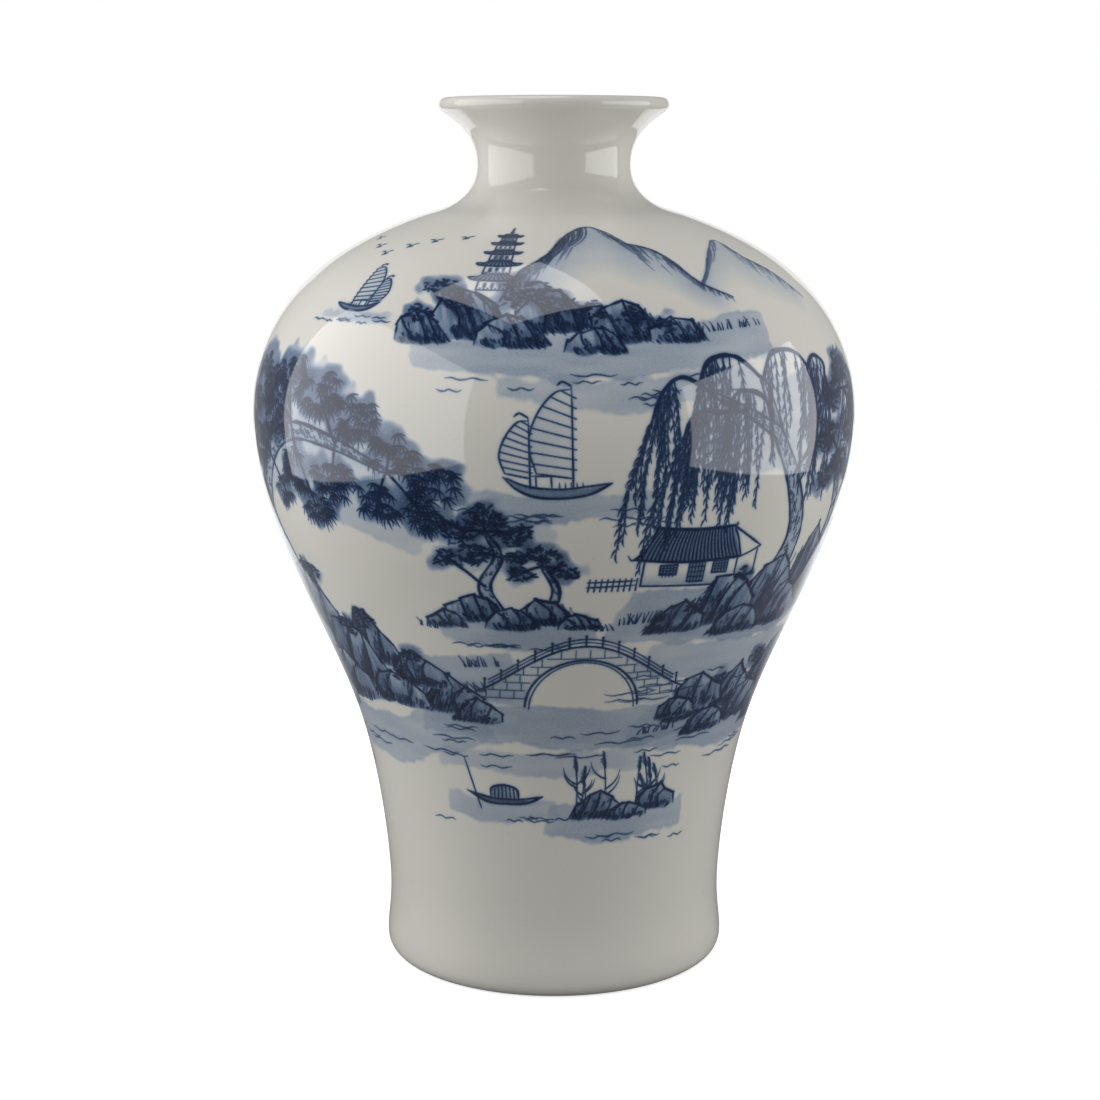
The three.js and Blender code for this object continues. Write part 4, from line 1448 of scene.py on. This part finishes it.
def glazed(name, painted):
    """White porcelain under a clear gloss glaze, with the painting between them."""
    nodes = Nodes(bpy.data.materials.new(name))
    speck = nodes.spread(nodes.noise(900.0, 1.0), 0.72, 0.8, 1.0, 0.9)
    tone = nodes.maths("MULTIPLY", nodes.grain(14.0, 3.0, 0.975, 1.02), speck)
    if painted:
        strength = nodes.maths("MULTIPLY", ink(nodes), nodes.grain(1500.0, 2.0, 0.88, 1.12))
        thick = nodes.maths("EXPONENT", nodes.maths("MULTIPLY", strength, -THICKENS))
        thick = nodes.maths("SUBTRACT", 1.0, thick)
    channels = []
    for body, share, bright in zip(GLAZE, COBALT, COBALT_THIN):
        value = nodes.maths("MULTIPLY", tone, body)
        if painted:
            absorbed = nodes.maths("MULTIPLY", strength, -share)
            absorbed = nodes.maths("MULTIPLY_ADD", thick, bright, absorbed)
            value = nodes.maths("MULTIPLY", value, nodes.maths("EXPONENT", absorbed))
        channels.append(value)
    return nodes.coat(channels, nodes.noise(60.0), GLAZE_WAVE, Roughness=GLAZE_ROUGH, IOR=GLAZE_IOR)


def fired_clay(name, colour, rough, grain):
    """Bare fired porcelain or slip: matt, with a fine grain and warmer patches."""
    nodes = Nodes(bpy.data.materials.new(name))
    tone = nodes.maths("MULTIPLY", nodes.grain(40.0, 3.0, 0.93, 1.04), nodes.grain(grain, 2.0, 0.94, 1.04))
    channels = [nodes.maths("MULTIPLY", tone, value) for value in colour]
    return nodes.coat(channels, nodes.noise(grain, 3.0), CLAY_WAVE, Roughness=rough)


# Camera, lamps and floor


def add_camera():
    data = bpy.data.cameras.new("camera")
    data.lens, data.sensor_width, data.shift_x = LENS, SENSOR, SHIFT
    camera = in_scene("camera", data)
    camera.location = (0, -CAMERA_DISTANCE, CAMERA_HEIGHT)
    camera.rotation_euler = (math.radians(90 - CAMERA_PITCH), 0, 0)
    bpy.context.scene.camera = camera


def add_softbox(name, place, target, size, power):
    data = bpy.data.lights.new(name, "AREA")
    data.shape, data.size, data.size_y = "RECTANGLE", size[0], size[1]
    data.energy = power
    lamp = in_scene(name, data)
    lamp.location = place
    aim = Vector(target) - Vector(place)
    lamp.rotation_euler = aim.to_track_quat("-Z", "Y").to_euler()


def show_to_camera(nodes, plain, seen, gloss=1.0):
    """One shader for the light that falls on the vase, and another for what the camera or a gloss sees."""
    path = nodes.add("ShaderNodeLightPath").outputs
    through = nodes.maths("MAXIMUM", path["Is Glossy Ray"], path["Is Transmission Ray"])
    share = nodes.maths("MAXIMUM", path["Is Camera Ray"], nodes.maths("MULTIPLY", through, gloss))
    mix = nodes.add("ShaderNodeMixShader", Fac=share)
    nodes.put(mix.inputs[1], plain.outputs[0])
    nodes.put(mix.inputs[2], seen.outputs[0])
    return mix


def matt(nodes, level):
    return nodes.add("ShaderNodeBsdfDiffuse", Color=(level, level, level, 1))


def glow(nodes, strength):
    return nodes.add("ShaderNodeEmission", Color=(1, 1, 1, 1), Strength=strength)


def add_panel(name, corners, nodes, plain, seen, gloss=1.0):
    """A flat part of the set, with one look for the light and another for the camera."""
    mesh = bpy.data.meshes.new(name)
    mesh.from_pydata(corners, [], [(0, 1, 2, 3)])
    mesh.materials.append(nodes.surface(show_to_camera(nodes, plain, seen, gloss)))
    panel = in_scene(name, mesh)


def add_floor():
    """A pale floor. The camera sees it lifted nearly to white, with the vase's shadow kept, and lifted less
    near the foot: a painted shade round the vase.
    """
    nodes = Nodes(bpy.data.materials.new("floor_white"))
    off = nodes.add("ShaderNodeVectorMath", {"operation": "LENGTH"})
    nodes.put(off.inputs[0], nodes.add("ShaderNodeTexCoord").outputs["Object"])
    # The glow grows with distance from the vase, so near the foot it is weaker: a painted shade round the
    # vase.
    lift = nodes.spread(off.outputs["Value"], *FLOOR_PAINTED_SHADE_REACH, *FLOOR_GLOW_WITH_PAINTED_SHADE)
    far = nodes.spread(off.outputs["Value"], *FLOOR_GLOSS, 0.0, 1.0)
    seen = nodes.add("ShaderNodeAddShader")
    nodes.put(seen.inputs[0], matt(nodes, SET_WHITE).outputs[0])
    nodes.put(seen.inputs[1], glow(nodes, lift).outputs[0])
    (front, near_side), (back, far_side) = FLOOR_FRONT, FLOOR_BACK
    ground = [(-near_side, front, 0), (near_side, front, 0), (far_side, back, 0), (-far_side, back, 0)]
    add_panel("floor", ground, nodes, matt(nodes, FLOOR_PALE), seen, far)


def add_backdrop():
    nodes = Nodes(bpy.data.materials.new("backdrop_white"))
    (back, side), top = FLOOR_BACK, BACKDROP_HEIGHT
    upright = [(-side, back, 0), (side, back, 0), (side, back, top), (-side, back, top)]
    add_panel("backdrop", upright, nodes, matt(nodes, SET_WHITE), glow(nodes, 1.0))


def add_world():
    """Soft light from all round. The camera sees white, and a gloss sees a dimmer white behind."""
    world = bpy.data.worlds.new("studio")
    nodes = Nodes(world)
    way = nodes.add("ShaderNodeTexCoord").outputs["Generated"]
    aim = nodes.add("ShaderNodeSeparateXYZ", Vector=way).outputs
    level = nodes.spread(aim["Z"], -0.2, 0.7, *WORLD_FILL)
    behind = nodes.spread(aim["Y"], 0.0, 0.5, *WORLD_SEEN)
    seen = nodes.maths("MAXIMUM", behind, nodes.add("ShaderNodeLightPath").outputs["Is Camera Ray"])
    plain = nodes.add("ShaderNodeBackground", Color=(1, 1, 1, 1), Strength=level)
    white = nodes.add("ShaderNodeBackground", Color=(1, 1, 1, 1), Strength=seen)
    out = nodes.add("ShaderNodeOutputWorld")
    nodes.put(out.inputs["Surface"], show_to_camera(nodes, plain, white).outputs[0])
    bpy.context.scene.world = world


# The scene

WALL_PIECES = ("flank_section", "shoulder_section", "foot_section", "neck_and_mouth")
WALL_STRIPS, OTHER_STRIPS = 2, 7  # how many strips a piece's outer wall has on its bake map


def add_pieces(painting):
    """Every piece of the vase, each in the place of its CAD node."""
    glaze = glazed("painted_glaze", painted=True)
    plain = glazed("clear_glaze", painted=False)
    biscuit = fired_clay("bare_biscuit", BISCUIT, BISCUIT_ROUGH, BISCUIT_GRAIN)
    slip = fired_clay("dried_slip", SLIP, SLIP_ROUGH, SLIP_GRAIN)
    for node in sorted(profiles):
        piece = Turned(node, WALL_STRIPS if node in WALL_PIECES else OTHER_STRIPS)
        if node == "floor_slab":
            piece.place("glazed_porcelain", [plain], lambda height, skin: height * 0)
            continue
        piece.lay(painting)
        if node == "foot_ring":
            piece.place("bare_biscuit", [biscuit, glaze], lambda height, skin: skin & (height > SOLE_GLAZE))
        elif node.startswith("slip_joint"):
            piece.place("dried_slip", [slip, glaze], lambda height, skin: skin)
        else:
            piece.place("glazed_porcelain", [plain, glaze], lambda height, skin: skin)


def main():
    add_pieces(paint())
    add_camera()
    add_world()
    add_floor()
    add_backdrop()
    for softbox in SOFTBOXES:
        add_softbox(*softbox)
    bpy.context.scene.view_settings.view_transform = "Standard"


main()
